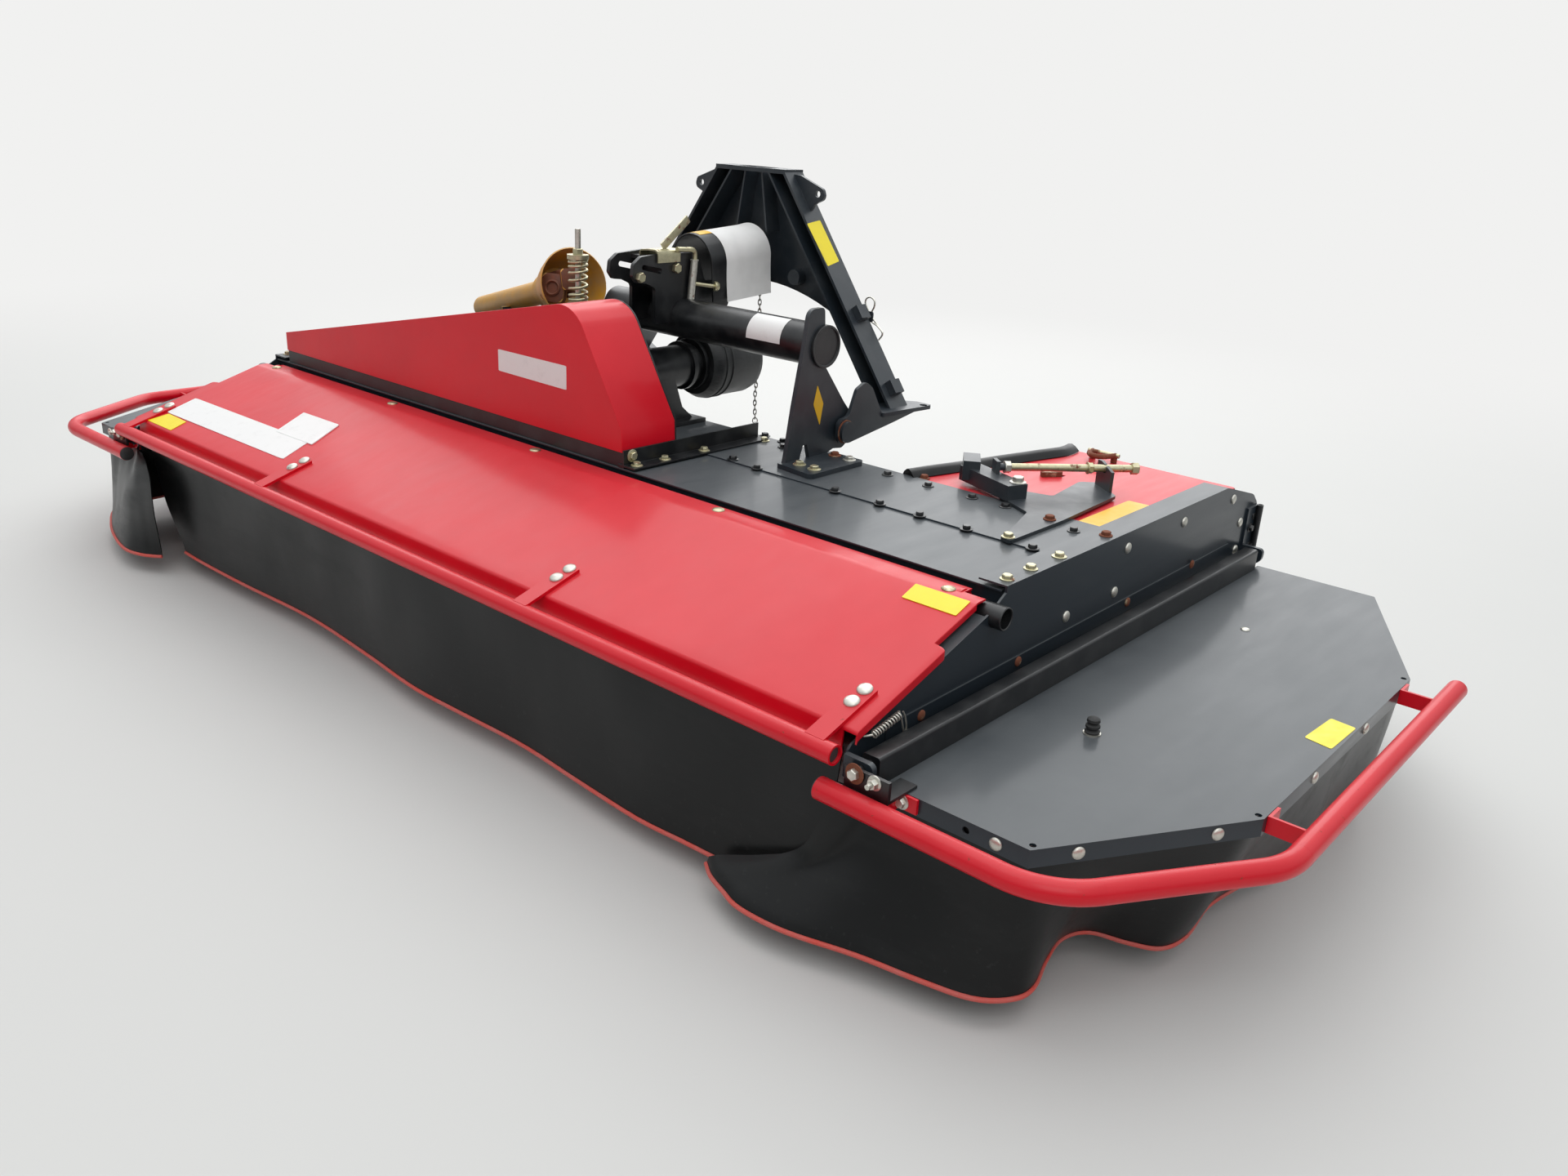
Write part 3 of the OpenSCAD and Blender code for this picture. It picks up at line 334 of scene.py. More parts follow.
# each finish: the name of its material, how that is made, its colour and how much of it, and the details
FINISHES = {
    # the enamels' third detail is their dust on level faces, which also paints a sheen of the sky there
    "red_enamel": ("red enamel on sheet steel", enamel_on_sheet, "red", 1, 0.33, 0.1, 1.6),
    "anthracite_enamel": ("anthracite enamel on sheet steel", enamel_on_sheet, "anthracite", 1, 0.32, 0.24, 1.6),
    "chipped_red_enamel": ("chipped red enamel on bar", enamel_on_sheet, "red", 1, 0.33, 0.1, 0.0, 0.85),
    "anthracite_paint": ("anthracite chassis paint", chassis_paint, "anthracite", 0.8),
    "black_paint": ("black chassis paint", chassis_paint, "black", 1),
    "rubber": ("calendered sheet rubber", sheet_rubber, "rubber", 1),
    "zinc": ("zinc-plated steel", plated_steel, "zinc", 1, 0.0),
    "chromate": ("yellow-chromated steel", plated_steel, "chromate", 1, 0.12),
    "dull_zinc": ("dulled zinc of the chain", plated_steel, "zinc", 0.55, 0.15),
    "rusty_bolt": ("rusted plated steel", plated_steel, "chromate", 1, 0.75),
    "iron": ("rusty forged iron", rough_iron, "rust", 0.6, 0.9),
    "knife_steel": ("hardened knife steel", rough_iron, "steel", 1, 0.35),
    "moulded_rubber": ("moulded black rubber", moulded_plastic, "rubber", 1.2, 0.6, 0.1),
    "black_plastic": ("black moulded polyethylene", moulded_plastic, "black", 1.1, 0.42, 0.14),
    "ochre_plastic": ("weathered yellow polyethylene", moulded_plastic, "ochre", 1, 0.45, 0.45),
    "piping_plastic": ("red piping of soft PVC", moulded_plastic, "piping", 1, 0.5, 0.3),
    "yellow_vinyl": ("blank yellow vinyl", vinyl_film, "yellow", 1),
    "orange_vinyl": ("blank orange vinyl", vinyl_film, "orange", 1),
    "white_vinyl": ("blank white vinyl", vinyl_film, "white", 1),
    "paper": ("blank office paper", office_paper, "white", 1),
    "floor": ("matt studio floor", floor_paint, "floor", 1),
}


def finish(name):
    title, build, colour, share, *details = FINISHES[name]
    return material(title, build, shade(getattr(colours(), colour), share)[:3], *details)


# ---- mesh building

WELD = 0.02 * MM  # vertices closer than this are one
FLAT = math.radians(0.8)  # faces that turn less than this are one
ROUNDED = math.radians(32)  # edges that turn more than this are rounded


def at(x, y, z, side=1):
    """A point in metres from millimetres: y from the hood's crease, z from the ground. Side -1 mirrors it."""
    return Vector((x * side * MM, y * MM + CREASE_Y, z * MM))


def facing(origin, normal, along=(0, 0, 1)):
    """A local frame at origin whose Z is normal and whose X lies as near along as it can."""
    z = Vector(normal).normalized()
    x = Vector(along) - z * z.dot(Vector(along))
    if x.length < 1e-4:
        x = z.orthogonal()
    x.normalize()
    frame_matrix = Matrix((x, z.cross(x), z)).transposed().to_4x4()
    frame_matrix.translation = origin
    return frame_matrix


def mirrored(point, side):
    return Vector((point[0] * side, point[1], point[2]))


def slope_height(y):
    """Height in mm of the hood's front slope at y."""
    return HOOD_TOP + y * HOOD_DROP / HOOD_RUN


def skin(mesh, rows, closed=False, tag=0):
    """Faces between rows of vertices, also between the ends of each row where closed."""
    for low, high in zip(rows, rows[1:]):
        count = len(low)
        for k in range(count if closed else count - 1):
            n = (k + 1) % count
            corners = list(dict.fromkeys((low[k], low[n], high[n], high[k])))
            if len(corners) > 2:
                mesh.faces.new(corners).material_index = tag


def lathe(mesh, place, outline, steps=20, tag=0):
    """Turns an outline of (radius, height) points, in mm, about the local Z of place."""
    turns = [2 * math.pi * k / steps for k in range(steps)]
    rings = []
    for radius, height in outline:
        if radius == 0:
            rings.append([mesh.verts.new(place @ Vector((0, 0, height * MM)))] * steps)
        else:
            rings.append([mesh.verts.new(place @ Vector((
                radius * MM * math.cos(a), radius * MM * math.sin(a), height * MM))) for a in turns])
    skin(mesh, rings, True, tag)


def disc(mesh, place, radius, height, steps=28, tag=0):
    lathe(mesh, place, [(0, 0), (radius, 0), (radius, height), (0, height)], steps, tag)


def prism(mesh, place, outline, height, edge=0.0, tag=0):
    """A plate: an outline in mm in the local XY plane of place, height mm thick, with rounded edges."""
    low = [mesh.verts.new(place @ Vector((x * MM, y * MM, 0))) for x, y in outline]
    high = [mesh.verts.new(place @ Vector((x * MM, y * MM, height * MM))) for x, y in outline]
    faces = [mesh.faces.new(low[::-1]), mesh.faces.new(high)]
    count = len(outline)
    for k in range(count):
        faces.append(mesh.faces.new((low[k], low[(k + 1) % count], high[(k + 1) % count], high[k])))
    for face in faces:
        face.material_index = tag
    if edge:
        edges = [e for face in faces[:2] for e in face.edges]
        bmesh.ops.bevel(mesh, geom=edges, offset=edge * MM, segments=2, profile=0.6, affect="EDGES",
                        clamp_overlap=True)


def rounded_rectangle(width, height, radius, steps=5):
    points = []
    for cx, cy, start in ((1, 1, 0), (-1, 1, 90), (-1, -1, 180), (1, -1, 270)):
        for k in range(steps + 1):
            angle = math.radians(start + 90 * k / steps)
            points.append((cx * (width / 2 - radius) + radius * math.cos(angle),
                           cy * (height / 2 - radius) + radius * math.sin(angle)))
    return points


def spline(points, spacing=None, steps=None):
    """A smooth curve through points, with a new point about every spacing metres or steps from each to the next."""
    points = [Vector(p) for p in points]
    made = []
    for k, (p1, p2) in enumerate(zip(points, points[1:])):
        p0 = points[k - 1] if k else p1 * 2 - p2
        p3 = points[k + 2] if k + 2 < len(points) else p2 * 2 - p1
        count = steps or max(1, round((p2 - p1).length / spacing))
        for j in range(count):
            t = j / count
            made.append(0.5 * (2 * p1 + (p2 - p0) * t + (2 * p0 - 5 * p1 + 4 * p2 - p3) * t ** 2
                               + (3 * p1 - p0 - 3 * p2 + p3) * t ** 3))
    return made + [points[-1]]


def spread(points, count):
    """The same curve with count points spread evenly along it."""
    lengths = [0.0]
    for a, b in zip(points, points[1:]):
        lengths.append(lengths[-1] + (b - a).length)
    made, k = [], 0
    for j in range(count):
        target = lengths[-1] * j / (count - 1)
        while k < len(points) - 2 and lengths[k + 1] < target:
            k += 1
        part = (target - lengths[k]) / max(1e-9, lengths[k + 1] - lengths[k])
        made.append(points[k].lerp(points[k + 1], min(1.0, part)))
    return made


def tube(mesh, points, radius, steps=10, closed=False, tag=0):
    """A round bar of radius mm along points in metres."""
    count = len(points)
    rings = []
    side = None
    for k, point in enumerate(points):
        before = points[k - 1] if k or closed else point
        after = points[(k + 1) % count] if k + 1 < count or closed else point
        along = (after - before).normalized()
        side = along.orthogonal().normalized() if side is None else (side - along * along.dot(side)).normalized()
        across = along.cross(side)
        rings.append([mesh.verts.new(point + (side * math.cos(a) + across * math.sin(a)) * radius * MM)
                      for a in (2 * math.pi * j / steps for j in range(steps))])
    skin(mesh, rings + ([rings[0]] if closed else []), True, tag)
    if not closed:
        for ring, order in ((rings[0], -1), (rings[-1], 1)):
            mesh.faces.new(ring[::order]).material_index = tag


def make_piece(name, mesh, body, finishes, sharp=40, replaces=()):
    """Turns a bmesh into a piece with smooth faces and sharp edges, riding on body. The faces' tags count through
    finishes."""
    bmesh.ops.recalc_face_normals(mesh, faces=mesh.faces)
    for face in mesh.faces:
        face.smooth = True
    for edge in mesh.edges:
        edge.smooth = not (len(edge.link_faces) == 2 and edge.calc_face_angle(0) > math.radians(sharp))
    data = bpy.data.meshes.new(name)
    mesh.to_mesh(data)
    mesh.free()
    made = bpy.data.objects.new(name, data)
    bpy.context.scene.collection.objects.link(made)
    for one in finishes.split():
        data.materials.append(finish(one))
    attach(made, body)
    if replaces:
        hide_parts(*replaces)
    return made


def apply_modifiers(piece):
    """Bakes the piece's modifiers into its mesh."""
    depsgraph = bpy.context.evaluated_depsgraph_get()
    baked = bpy.data.meshes.new_from_object(piece.evaluated_get(depsgraph))
    old = piece.data
    piece.modifiers.clear()
    piece.data = baked
    baked.name = piece.name
    bpy.data.meshes.remove(old)


def softened(node, coat, edge):
    """A copy of a CAD node with its sharp edges rounded, which stands for the node."""
    source = frame["nodes"][node]
    mesh = bmesh.new()
    mesh.from_mesh(source.data)
    bmesh.ops.remove_doubles(mesh, verts=mesh.verts, dist=WELD)
    bmesh.ops.dissolve_limit(mesh, angle_limit=FLAT, verts=mesh.verts, edges=mesh.edges)
    made = make_piece(node + "_finished", mesh, source["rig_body"], coat, 30, (node,))
    bevel = made.modifiers.new("rounding", "BEVEL")
    bevel.width = edge
    bevel.segments = 2
    bevel.limit_method = "ANGLE"
    bevel.angle_limit = ROUNDED
    bevel.use_clamp_overlap = True
    bpy.context.view_layer.update()
    apply_modifiers(made)


def upward(mesh, rise):
    """Makes the faces of an open sheet agree, with its upper side up: rise(mesh) tells how far they look up."""
    bmesh.ops.recalc_face_normals(mesh, faces=mesh.faces)
    if rise(mesh) < 0:
        bmesh.ops.reverse_faces(mesh, faces=mesh.faces)


def hex_bolt(mesh, origin, normal, across=17, height=8, washer=15, tag=0, spin=None):
    """A hexagon head with chamfered corners on a round washer."""
    place = facing(origin, normal, spin or (random.uniform(-1, 1), random.uniform(-1, 1), 0.2))
    base = 0
    if washer:
        lathe(mesh, place, [(0, 0), (washer, 0), (washer, 1.8), (washer - 1, 2.4), (0, 2.4)], 20, tag)
        base = 2.2
    corner = across / math.sqrt(3)
    lathe(mesh, place, [(0, base), (corner, base), (corner, base + height - 1.6), (corner * 0.87, base + height),
                        (0, base + height)], 6, tag)


def cup_bolt(mesh, origin, normal, radius=13, height=6, tag=0):
    """A round cup head, as on a carriage bolt."""
    place = facing(origin, normal)
    dome = [(radius * math.cos(a), height * (0.15 + 0.85 * math.sin(a)))
            for a in (math.pi / 2 * k / 5 for k in range(5))]
    lathe(mesh, place, [(0, 0), (radius, 0)] + dome + [(0, height)], 20, tag)


def patch(mesh, corners, lift=0.4, rounding=0.06, tag=0):
    """A thin label through four corners given in mm, in order round it."""
    a, b, c, d = (at(*p) for p in corners)
    normal = (c - a).cross(d - b).normalized()
    if normal.z < -0.2 or (abs(normal.z) <= 0.2 and (normal.y > 0.5 or normal.x < -0.5)):
        normal = -normal
    outline = rounded_rectangle(1, 1, rounding, 3)
    low = [a.lerp(b, u + 0.5).lerp(d.lerp(c, u + 0.5), v + 0.5) for u, v in outline]
    under = [mesh.verts.new(p) for p in low]
    over = [mesh.verts.new(p + normal * (lift + sizes().label / MM) * MM) for p in low]
    mesh.faces.new(under[::-1]).material_index = tag
    mesh.faces.new(over).material_index = tag
    for k in range(len(low)):
        n = (k + 1) % len(low)
        mesh.faces.new((under[k], under[n], over[n], over[k])).material_index = tag


def folded_plate(mesh, line, y_from, y_to, thick, tag=0):
    """A sheet folded along a line of (x, z) points in mm, from y_from to y_to."""
    points = [Vector(p) for p in line]
    inner = []
    for k, point in enumerate(points):
        before, after = points[max(0, k - 1)], points[min(len(points) - 1, k + 1)]
        along = (after - before).normalized()
        inner.append(point - Vector((-along.y, along.x)) * thick)
    ring = points + inner[::-1]
    ends = [[mesh.verts.new(at(p.x, y, p.y)) for p in ring] for y in (y_from, y_to)]
    count = len(ring)
    for k in range(count):
        n = (k + 1) % count
        mesh.faces.new((ends[0][k], ends[0][n], ends[1][n], ends[1][k])).material_index = tag
    for end in ends:
        for k in range(len(points) - 1):
            mesh.faces.new((end[k], end[k + 1], end[count - 2 - k], end[count - 1 - k])).material_index = tag


def flat_bar(mesh, start, end, width, thick, normal, tag=0):
    """A flat bar between two points in metres, width mm across and thick mm along normal."""
    place = facing(start, normal, end - start)
    length = (end - start).length / MM
    prism(mesh, place, [(0, -width / 2), (length, -width / 2), (length, width / 2), (0, width / 2)], thick, 0.6, tag)


def coil(start, end, radius, turns, lead=0.12):
    """Points of a helical spring between start and end, closed flat at both ends."""
    axis = end - start
    place = facing(start, axis)
    steps = int(turns * 20)
    made = []
    for k in range(steps + 1):
        t = k / steps
        rise = (t - math.sin(2 * math.pi * t) * lead / 2) * axis.length
        angle = 2 * math.pi * turns * t
        made.append(place @ Vector((radius * MM * math.cos(angle), radius * MM * math.sin(angle), rise)))
    return made


def rod(mesh, points, radius, steps=10, tag=0, side=1):
    """A straight round bar between two points in mm."""
    tube(mesh, [at(*p, side) for p in points], radius, steps, tag=tag)


def bent_wire(mesh, points, radius, steps=8, tag=0, side=1, spacing=6):
    """A round bar bent smoothly through points in mm."""
    tube(mesh, spline([at(*p, side) for p in points], spacing * MM), radius, steps, tag=tag)


# ---- operators


class PieceOperator:
    bl_options = {"REGISTER", "UNDO"}

    def execute(self, context):
        self.build()
        return {"FINISHED"}


class MOWER_OT_stage(PieceOperator, bpy.types.Operator):
    """Floor, white surroundings, soft lights and the camera"""
    bl_idname = "mower.stage"
    bl_label = "Stage"

    PICTURE_WIDTH = 1920  # in pixels, for which the focal length was found
    FOCAL_PIXELS = 1524.8
    CAMERA_AT = (2541.4, -1928.2, 1417.5)
    YAW, PITCH, ROLL = 40.367, 20.968, 3.072
    SKY, MIRRORED_SKY = (0.95, 0.97, 1.0, 1), (0.95, 0.98, 1.0, 1)
    FADES = (2.6, 7.5)  # distances in metres between which the floor passes into the backdrop

    def build(self):
        scene = bpy.context.scene
        scene.view_settings.view_transform = "Standard"
        yaw, pitch, roll = (math.radians(v) for v in (self.YAW, self.PITCH, self.ROLL))
        right = Vector((math.cos(yaw), math.sin(yaw), 0))
        ahead = Vector((-math.sin(yaw) * math.cos(pitch), math.cos(yaw) * math.cos(pitch), -math.sin(pitch)))
        up = right.cross(ahead)
        turned = (right * math.cos(roll) + up * math.sin(roll), up * math.cos(roll) - right * math.sin(roll))
        place = Matrix((*turned, -ahead)).transposed().to_4x4()
        place.translation = at(*self.CAMERA_AT)
        data = bpy.data.cameras.new("camera")
        data.sensor_width = 36
        data.sensor_fit = "HORIZONTAL"
        data.lens = self.FOCAL_PIXELS / self.PICTURE_WIDTH * data.sensor_width
        data.clip_end = 200
        camera = bpy.data.objects.new("camera", data)
        camera.matrix_world = place
        scene.collection.objects.link(camera)
        scene.camera = camera
        self.floor()
        self.surroundings()
        self.lamp("overhead softbox", (0.3, 0.2, 5.5), (0, 0, 0.4), 6.0, 130)
        self.lamp("side softbox", (4.5, -4.0, 5.2), (0, 0, 0.5), 4.0, 70)
        self.lamp("rear softbox", (-2.2, 7.6, 4.7), (0, 0, 0.6), 6.5, 250)
        self.lamp("left softbox", (-6.4, 4.2, 5.4), (0, 0, 0.6), 6.5, 250)

    def floor(self):
        mesh = bmesh.new()
        bmesh.ops.create_grid(mesh, x_segments=1, y_segments=1, size=60)
        data = bpy.data.meshes.new("floor")
        mesh.to_mesh(data)
        mesh.free()
        floor = bpy.data.objects.new("floor", data)
        floor.location.z = -0.0005
        bpy.context.scene.collection.objects.link(floor)
        data.materials.append(finish("floor"))
        self.fade(data.materials[0].node_tree)

    def fade(self, tree):
        """Lets the camera see the floor pass into the plain backdrop far from the machine."""
        add = functools.partial(add_node, tree)
        away = add("VectorMath", (add("TexCoord", output="Object"),), "Value", operation="LENGTH")
        far = add("MapRange", (away, *self.FADES), interpolation_type="SMOOTHSTEP")
        seen = add("Math", (add("LightPath", output="Is Camera Ray"), far), **MULTIPLIED)
        backdrop = add("Emission", (shade(colours().backdrop), 1.0))
        mixed = add("MixShader", (seen, tree.nodes["Principled BSDF"].outputs[0], backdrop))
        fill(tree, tree.nodes["Material Output"], {"Surface": mixed})

    def surroundings(self):
        """A plain pale backdrop for the camera, a soft grey for the light on things, and for reflections a sky
        that goes from grey at the horizon to white overhead."""
        world = bpy.data.worlds.new("studio")
        bpy.context.scene.world = world
        world.use_nodes = True
        world.node_tree.nodes.clear()
        add = functools.partial(add_node, world.node_tree)
        aloft = add("SeparateXYZ", (add("TexCoord", output="Generated"),), "Z")
        soft = add("Background", (self.SKY, add("MapRange", (aloft, 0.0, 1.0, 0.17, 0.85))))
        bright = add("Background", (self.MIRRORED_SKY, add("MapRange", (aloft, 0.0, 0.4, 0.16, 1.0))))
        backdrop = add("Background", (shade(colours().backdrop), 1.0))
        mirrored_rays = add("Math", (add("LightPath", output="Is Glossy Ray"),
                                     add("LightPath", output="Is Transmission Ray")), operation="MAXIMUM")
        mixed = add("MixShader", (mirrored_rays, soft, bright))
        add("OutputWorld", (add("MixShader", (add("LightPath", output="Is Camera Ray"), mixed, backdrop)),))

    def lamp(self, name, place, target, size, watts):
        data = bpy.data.lights.new(name, "AREA")
        data.energy = watts
        data.size = size
        lamp = bpy.data.objects.new(name, data)
        aim = Vector(target) - Vector(place)
        lamp.rotation_euler = aim.to_track_quat("-Z", "Y").to_euler()
        lamp.location = place
        bpy.context.scene.collection.objects.link(lamp)


class MOWER_OT_carried_nodes(PieceOperator, bpy.types.Operator):
    """Finishes of the CAD pieces, with the edges of the sheets and castings rounded"""
    bl_idname = "mower.carried_nodes"
    bl_label = "Painted pieces"

    def build(self):
        sheet, casting = sizes().edge, sizes().casting_edge
        groups = (
            ("red_enamel", "red_paint", sheet, "belt_cover rear_panel_l rear_panel_r"),
            ("chipped_red_enamel", "red_paint", casting, "front_bar guard_bar_l guard_bar_r"),
            ("anthracite_enamel", "grey_paint", sheet, "deck side_panel_l side_panel_r guard_plate_l guard_plate_r"
                                                       " swath_boards"),
            ("anthracite_paint", "grey_paint", casting, "headstock bracket_l bracket_r swath_adjusters"),
            ("black_paint", "black_paint", sheet, "belt_rail end_plates latch_cover guard_beam_l guard_beam_r"),
            ("black_paint", "black_paint", casting, "main_beam cross_tube gearbox latch_block end_gearbox skids"
                                                    " hinge_tube"),
            ("black_plastic", "black_plastic", sheet, "shaft_guard"),
            ("knife_steel", "cast_grey", casting, "cutter_bar"),
            ("zinc", "zinc", sheet, "input_shaft driven_pulley"),
            ("knife_steel", "steel", sheet, " ".join(f"disc_{k}" for k in range(1, 8))),
        )
        for coat, slot, edge, names in groups:
            for node in names.split():
                softened(node, coat, edge)


class MOWER_OT_hood(PieceOperator, bpy.types.Operator):
    """Folded red sheet of the hood with its side wings and lips, and its hinge ears"""
    bl_idname = "mower.hood"
    bl_label = "Hood"

    HALF, STRIP, LIP = 1389, 56, 45
    WING_FROM, WING, SIDE_LIP = 140, 31, 18
    HINGE = (34, 529.85, 24.15)  # y and height of the hinge tube, and its radius
    THICK = 4
    # y of the sections on the slope, close together where the wing begins
    SECTIONS = (-40, -75, -105, -128, -138, -139.5, -141, -143, -146, -149, -170, -205, -240, -280, -320, -360)

    def profile(self):
        """Points (y, z) across the hood, from the rear strip to the lip, with rounded folds."""
        corners = [Vector((self.STRIP, HOOD_TOP)), Vector((0, HOOD_TOP)), Vector((-HOOD_RUN, HOOD_TOP - HOOD_DROP)),
                   Vector((-HOOD_RUN - 4, HOOD_TOP - HOOD_DROP - self.LIP))]
        made = [corners[0], Vector((28, HOOD_TOP))]
        for before, corner, after in zip(corners, corners[1:], corners[2:]):
            back, ahead = (before - corner).normalized(), (after - corner).normalized()
            bend = 10 if corner is corners[1] else 6
            if corner is corners[2]:
                made += [Vector((y, slope_height(y))) for y in self.SECTIONS]
            for k in range(5):
                t = k / 4
                made.append(corner + back * bend * (1 - t) ** 2 + ahead * bend * t ** 2)
        made.append(corners[3])
        return made

    def side_fold(self, y):
        """Offsets (out, down) of the turned-down side edge at y, which stands out as a wing near the front."""
        grown = max(0.0, min(1.0, (-self.WING_FROM + 1 - y) / 9))
        wing = (self.WING - 1.5) * math.sqrt(grown * (2 - grown))
        lip = 13 + (self.SIDE_LIP - 13) * grown
        return ((wing * 0.5, 0.0), (wing, 0.0), (wing + 1.1, 0.6), (wing + 1.5, 2.4), (wing + 1.5, lip))

    def build(self):
        mesh = bmesh.new()
        profile = self.profile()
        grid = {}
        for j, (y, z) in enumerate(profile):
            flat = [(self.HALF * (k / 28 - 1), 0.0) for k in range(57)]
            folded = [(self.HALF + out, down) for out, down in self.side_fold(y)] if -HOOD_RUN - 1 <= y <= 0 else []
            row = [(-x, down) for x, down in reversed(folded)] + flat + folded
            for i, (x, down) in enumerate(row, -len(folded)):
                wave = noise.noise(Vector((x / 430, y / 260, 3.1))) * sizes().hood_wave / MM
                free = max(0.0, min(1.0, (-y - 10) / 60)) * max(0.0, min(1.0, (HOOD_RUN - 6 + y) / 50))
                grid[i, j] = mesh.verts.new(at(x, y, z + wave * free - down))
        for i, j in list(grid):
            keys = ((i, j), (i + 1, j), (i + 1, j + 1), (i, j + 1))
            clipped = j == 0 and i in (0, 55)  # the strip's outer corners are cut off
            if all(k in grid for k in keys) and not clipped:
                mesh.faces.new([grid[k] for k in keys])
        upward(mesh, lambda sheet: sum(f.normal.z * f.calc_area() for f in sheet.faces))
        bmesh.ops.solidify(mesh, geom=mesh.faces[:], thickness=self.THICK * MM)
        self.ears(mesh)
        make_piece("hood_sheet", mesh, "hood", "red_enamel", 50, ("hood",))

    def ears(self, mesh):
        y, z, tube_radius = self.HINGE
        for x in (-1330, -665, 0, 665, 1330):
            inner, outer = tube_radius + 0.1, tube_radius + 9
            place = facing(at(x - 5, y, z), (1, 0, 0))
            lathe(mesh, place, [(inner, 0), (outer, 0), (outer, 10), (inner, 10), (inner, 0)], 32)


class MOWER_OT_curtains(PieceOperator, bpy.types.Operator):
    """Hanging rubber curtains with red piping along their hems"""
    bl_idname = "mower.curtains"
    bl_label = "Curtains"

    FRONT_HEM = [(-1168, -400, 62), (-1060, -401, 60), (-811, -392, 56), (-469, -380, 58), (-154, -397, 56),
                 (87, -420, 57), (270, -418, 58), (502, -408, 56), (690, -421, 57), (909, -432, 56),
                 (1040, -426, 58), (1180, -418, 58), (1290, -410, 62), (1376, -402, 70)]
    # how far a free edge has swept from its top corner to its hem, against how far it has dropped
    SWEPT = [(0, 0), (0.08, 0.02), (0.2, 0.05), (0.33, 0.09), (0.44, 0.12), (0.52, 0.16), (0.57, 0.2),
             (0.62, 0.26), (0.68, 0.36), (0.74, 0.5), (0.79, 0.62), (0.84, 0.76), (0.88, 0.87), (0.91, 0.95),
             (0.94, 0.985), (0.97, 0.998), (1, 1)]
    # top and hem of a side curtain, point by point, from the front flap round to the rear
    SIDE = [
        ((1386, -404, 331), (1128, -452, 62)), ((1418, -400, 331), (1162, -474, 60)),
        ((1450, -390, 334), (1209, -490, 58)), ((1484, -366, 341), (1266, -505, 56)),
        ((1540, -364, 343), (1368, -498, 56)), ((1610, -364, 343), (1500, -460, 56)),
        ((1670, -364, 343), (1609, -438, 56)), ((1720, -364, 343), (1708, -411, 56)),
        ((1750, -356, 343), (1759, -366, 58)), ((1772, -330, 343), (1770, -318, 60)),
        ((1800, -285, 343), (1752, -250, 66)), ((1830, -235, 343), (1743, -180, 72)),
        ((1865, -180, 343), (1768, -126, 72)), ((1905, -115, 343), (1830, -96, 66)),
        ((1945, -50, 343), (1877, -60, 60)), ((1974, 5, 343), (1893, 10, 58)),
        ((1978, 90, 343), (1884, 120, 62)), ((1978, 220, 343), (1902, 250, 60)),
        ((1978, 400, 343), (1934, 420, 58)), ((1978, 600, 343), (1926, 600, 60)),
        ((1976, 795, 343), (1950, 800, 60)), ((1925, 915, 343), (1880, 930, 58)),
        ((1860, 1060, 343), (1800, 1050, 62)), ((1758, 1272, 343), (1735, 1262, 60)),
    ]
    # the same for the far curtain, whose front flap hangs in another fold, and the start of its hem
    FAR_SWEPT = [(0, 0), (0.04, 0.45), (0.15, 0.75), (0.4, 0.93), (1, 1)]
    FAR_HEM = [(1181, -466, 60), (1205, -482, 59), (1240, -500, 58), (1306, -514, 57), (1390, -506, 58),
               (1505, -478, 60), (1609, -440, 60), (1700, -398, 60), (1755, -350, 62), (1768, -290, 64)]
    FRONT_TOP = (1385, -386, 424)  # half the length of the front curtain's top edge, its y and its height
    ROWS, COLUMNS = 20, 61
    FOLDS = ((5, 2.4, 9, 0.013), (14, 3, 0, 0.003))  # waves per metre across and down, shift, depth in metres
    # inner edge of a rear panel, and across it the strip's section as (outwards, up)
    PANEL_EDGE = [(807, 578), (832, 676), (861, 791), (890, 906), (917, 1010), (943, 1113), (939, 1172)]
    FLAP = [(14, 0.6), (9, 6), (2, 13), (-6, 18), (-14, 17), (-22, 10), (-28, -4), (-33, -28), (-35, -60),
            (-34, -90), (-37, -112)]

    def build(self):
        half, y, z = self.FRONT_TOP
        top = [at(-half + 2 * half * k / (self.COLUMNS - 1), y, z) for k in range(self.COLUMNS)]
        hem = spread(spline([at(*p) for p in self.FRONT_HEM], 0.05), self.COLUMNS)
        ends = [max(0.0, 1 - k / 8) * 0.6 for k in range(self.COLUMNS)]  # only the far end hangs free
        self.curtain("front_curtain_rubber", "hood", top, hem, ends, "front_curtain", 1.0)
        for side, letter in ((1, "l"), (-1, "r")):
            hems = [b for _, b in self.SIDE]
            if side < 0:
                hems[:len(self.FAR_HEM)] = self.FAR_HEM
            tops = spline([at(*a, side) for a, _ in self.SIDE], steps=5)
            hems = spline([at(*b, side) for b in hems], steps=5)
            swept = [max(0.0, 1 - k / 28) for k in range(len(tops))]
            self.curtain("curtain_rubber_" + letter, "guard_" + letter, tops, hems, swept, "curtain_" + letter, 1.7,
                         self.SWEPT if side > 0 else self.FAR_SWEPT)
        self.panel_flaps()

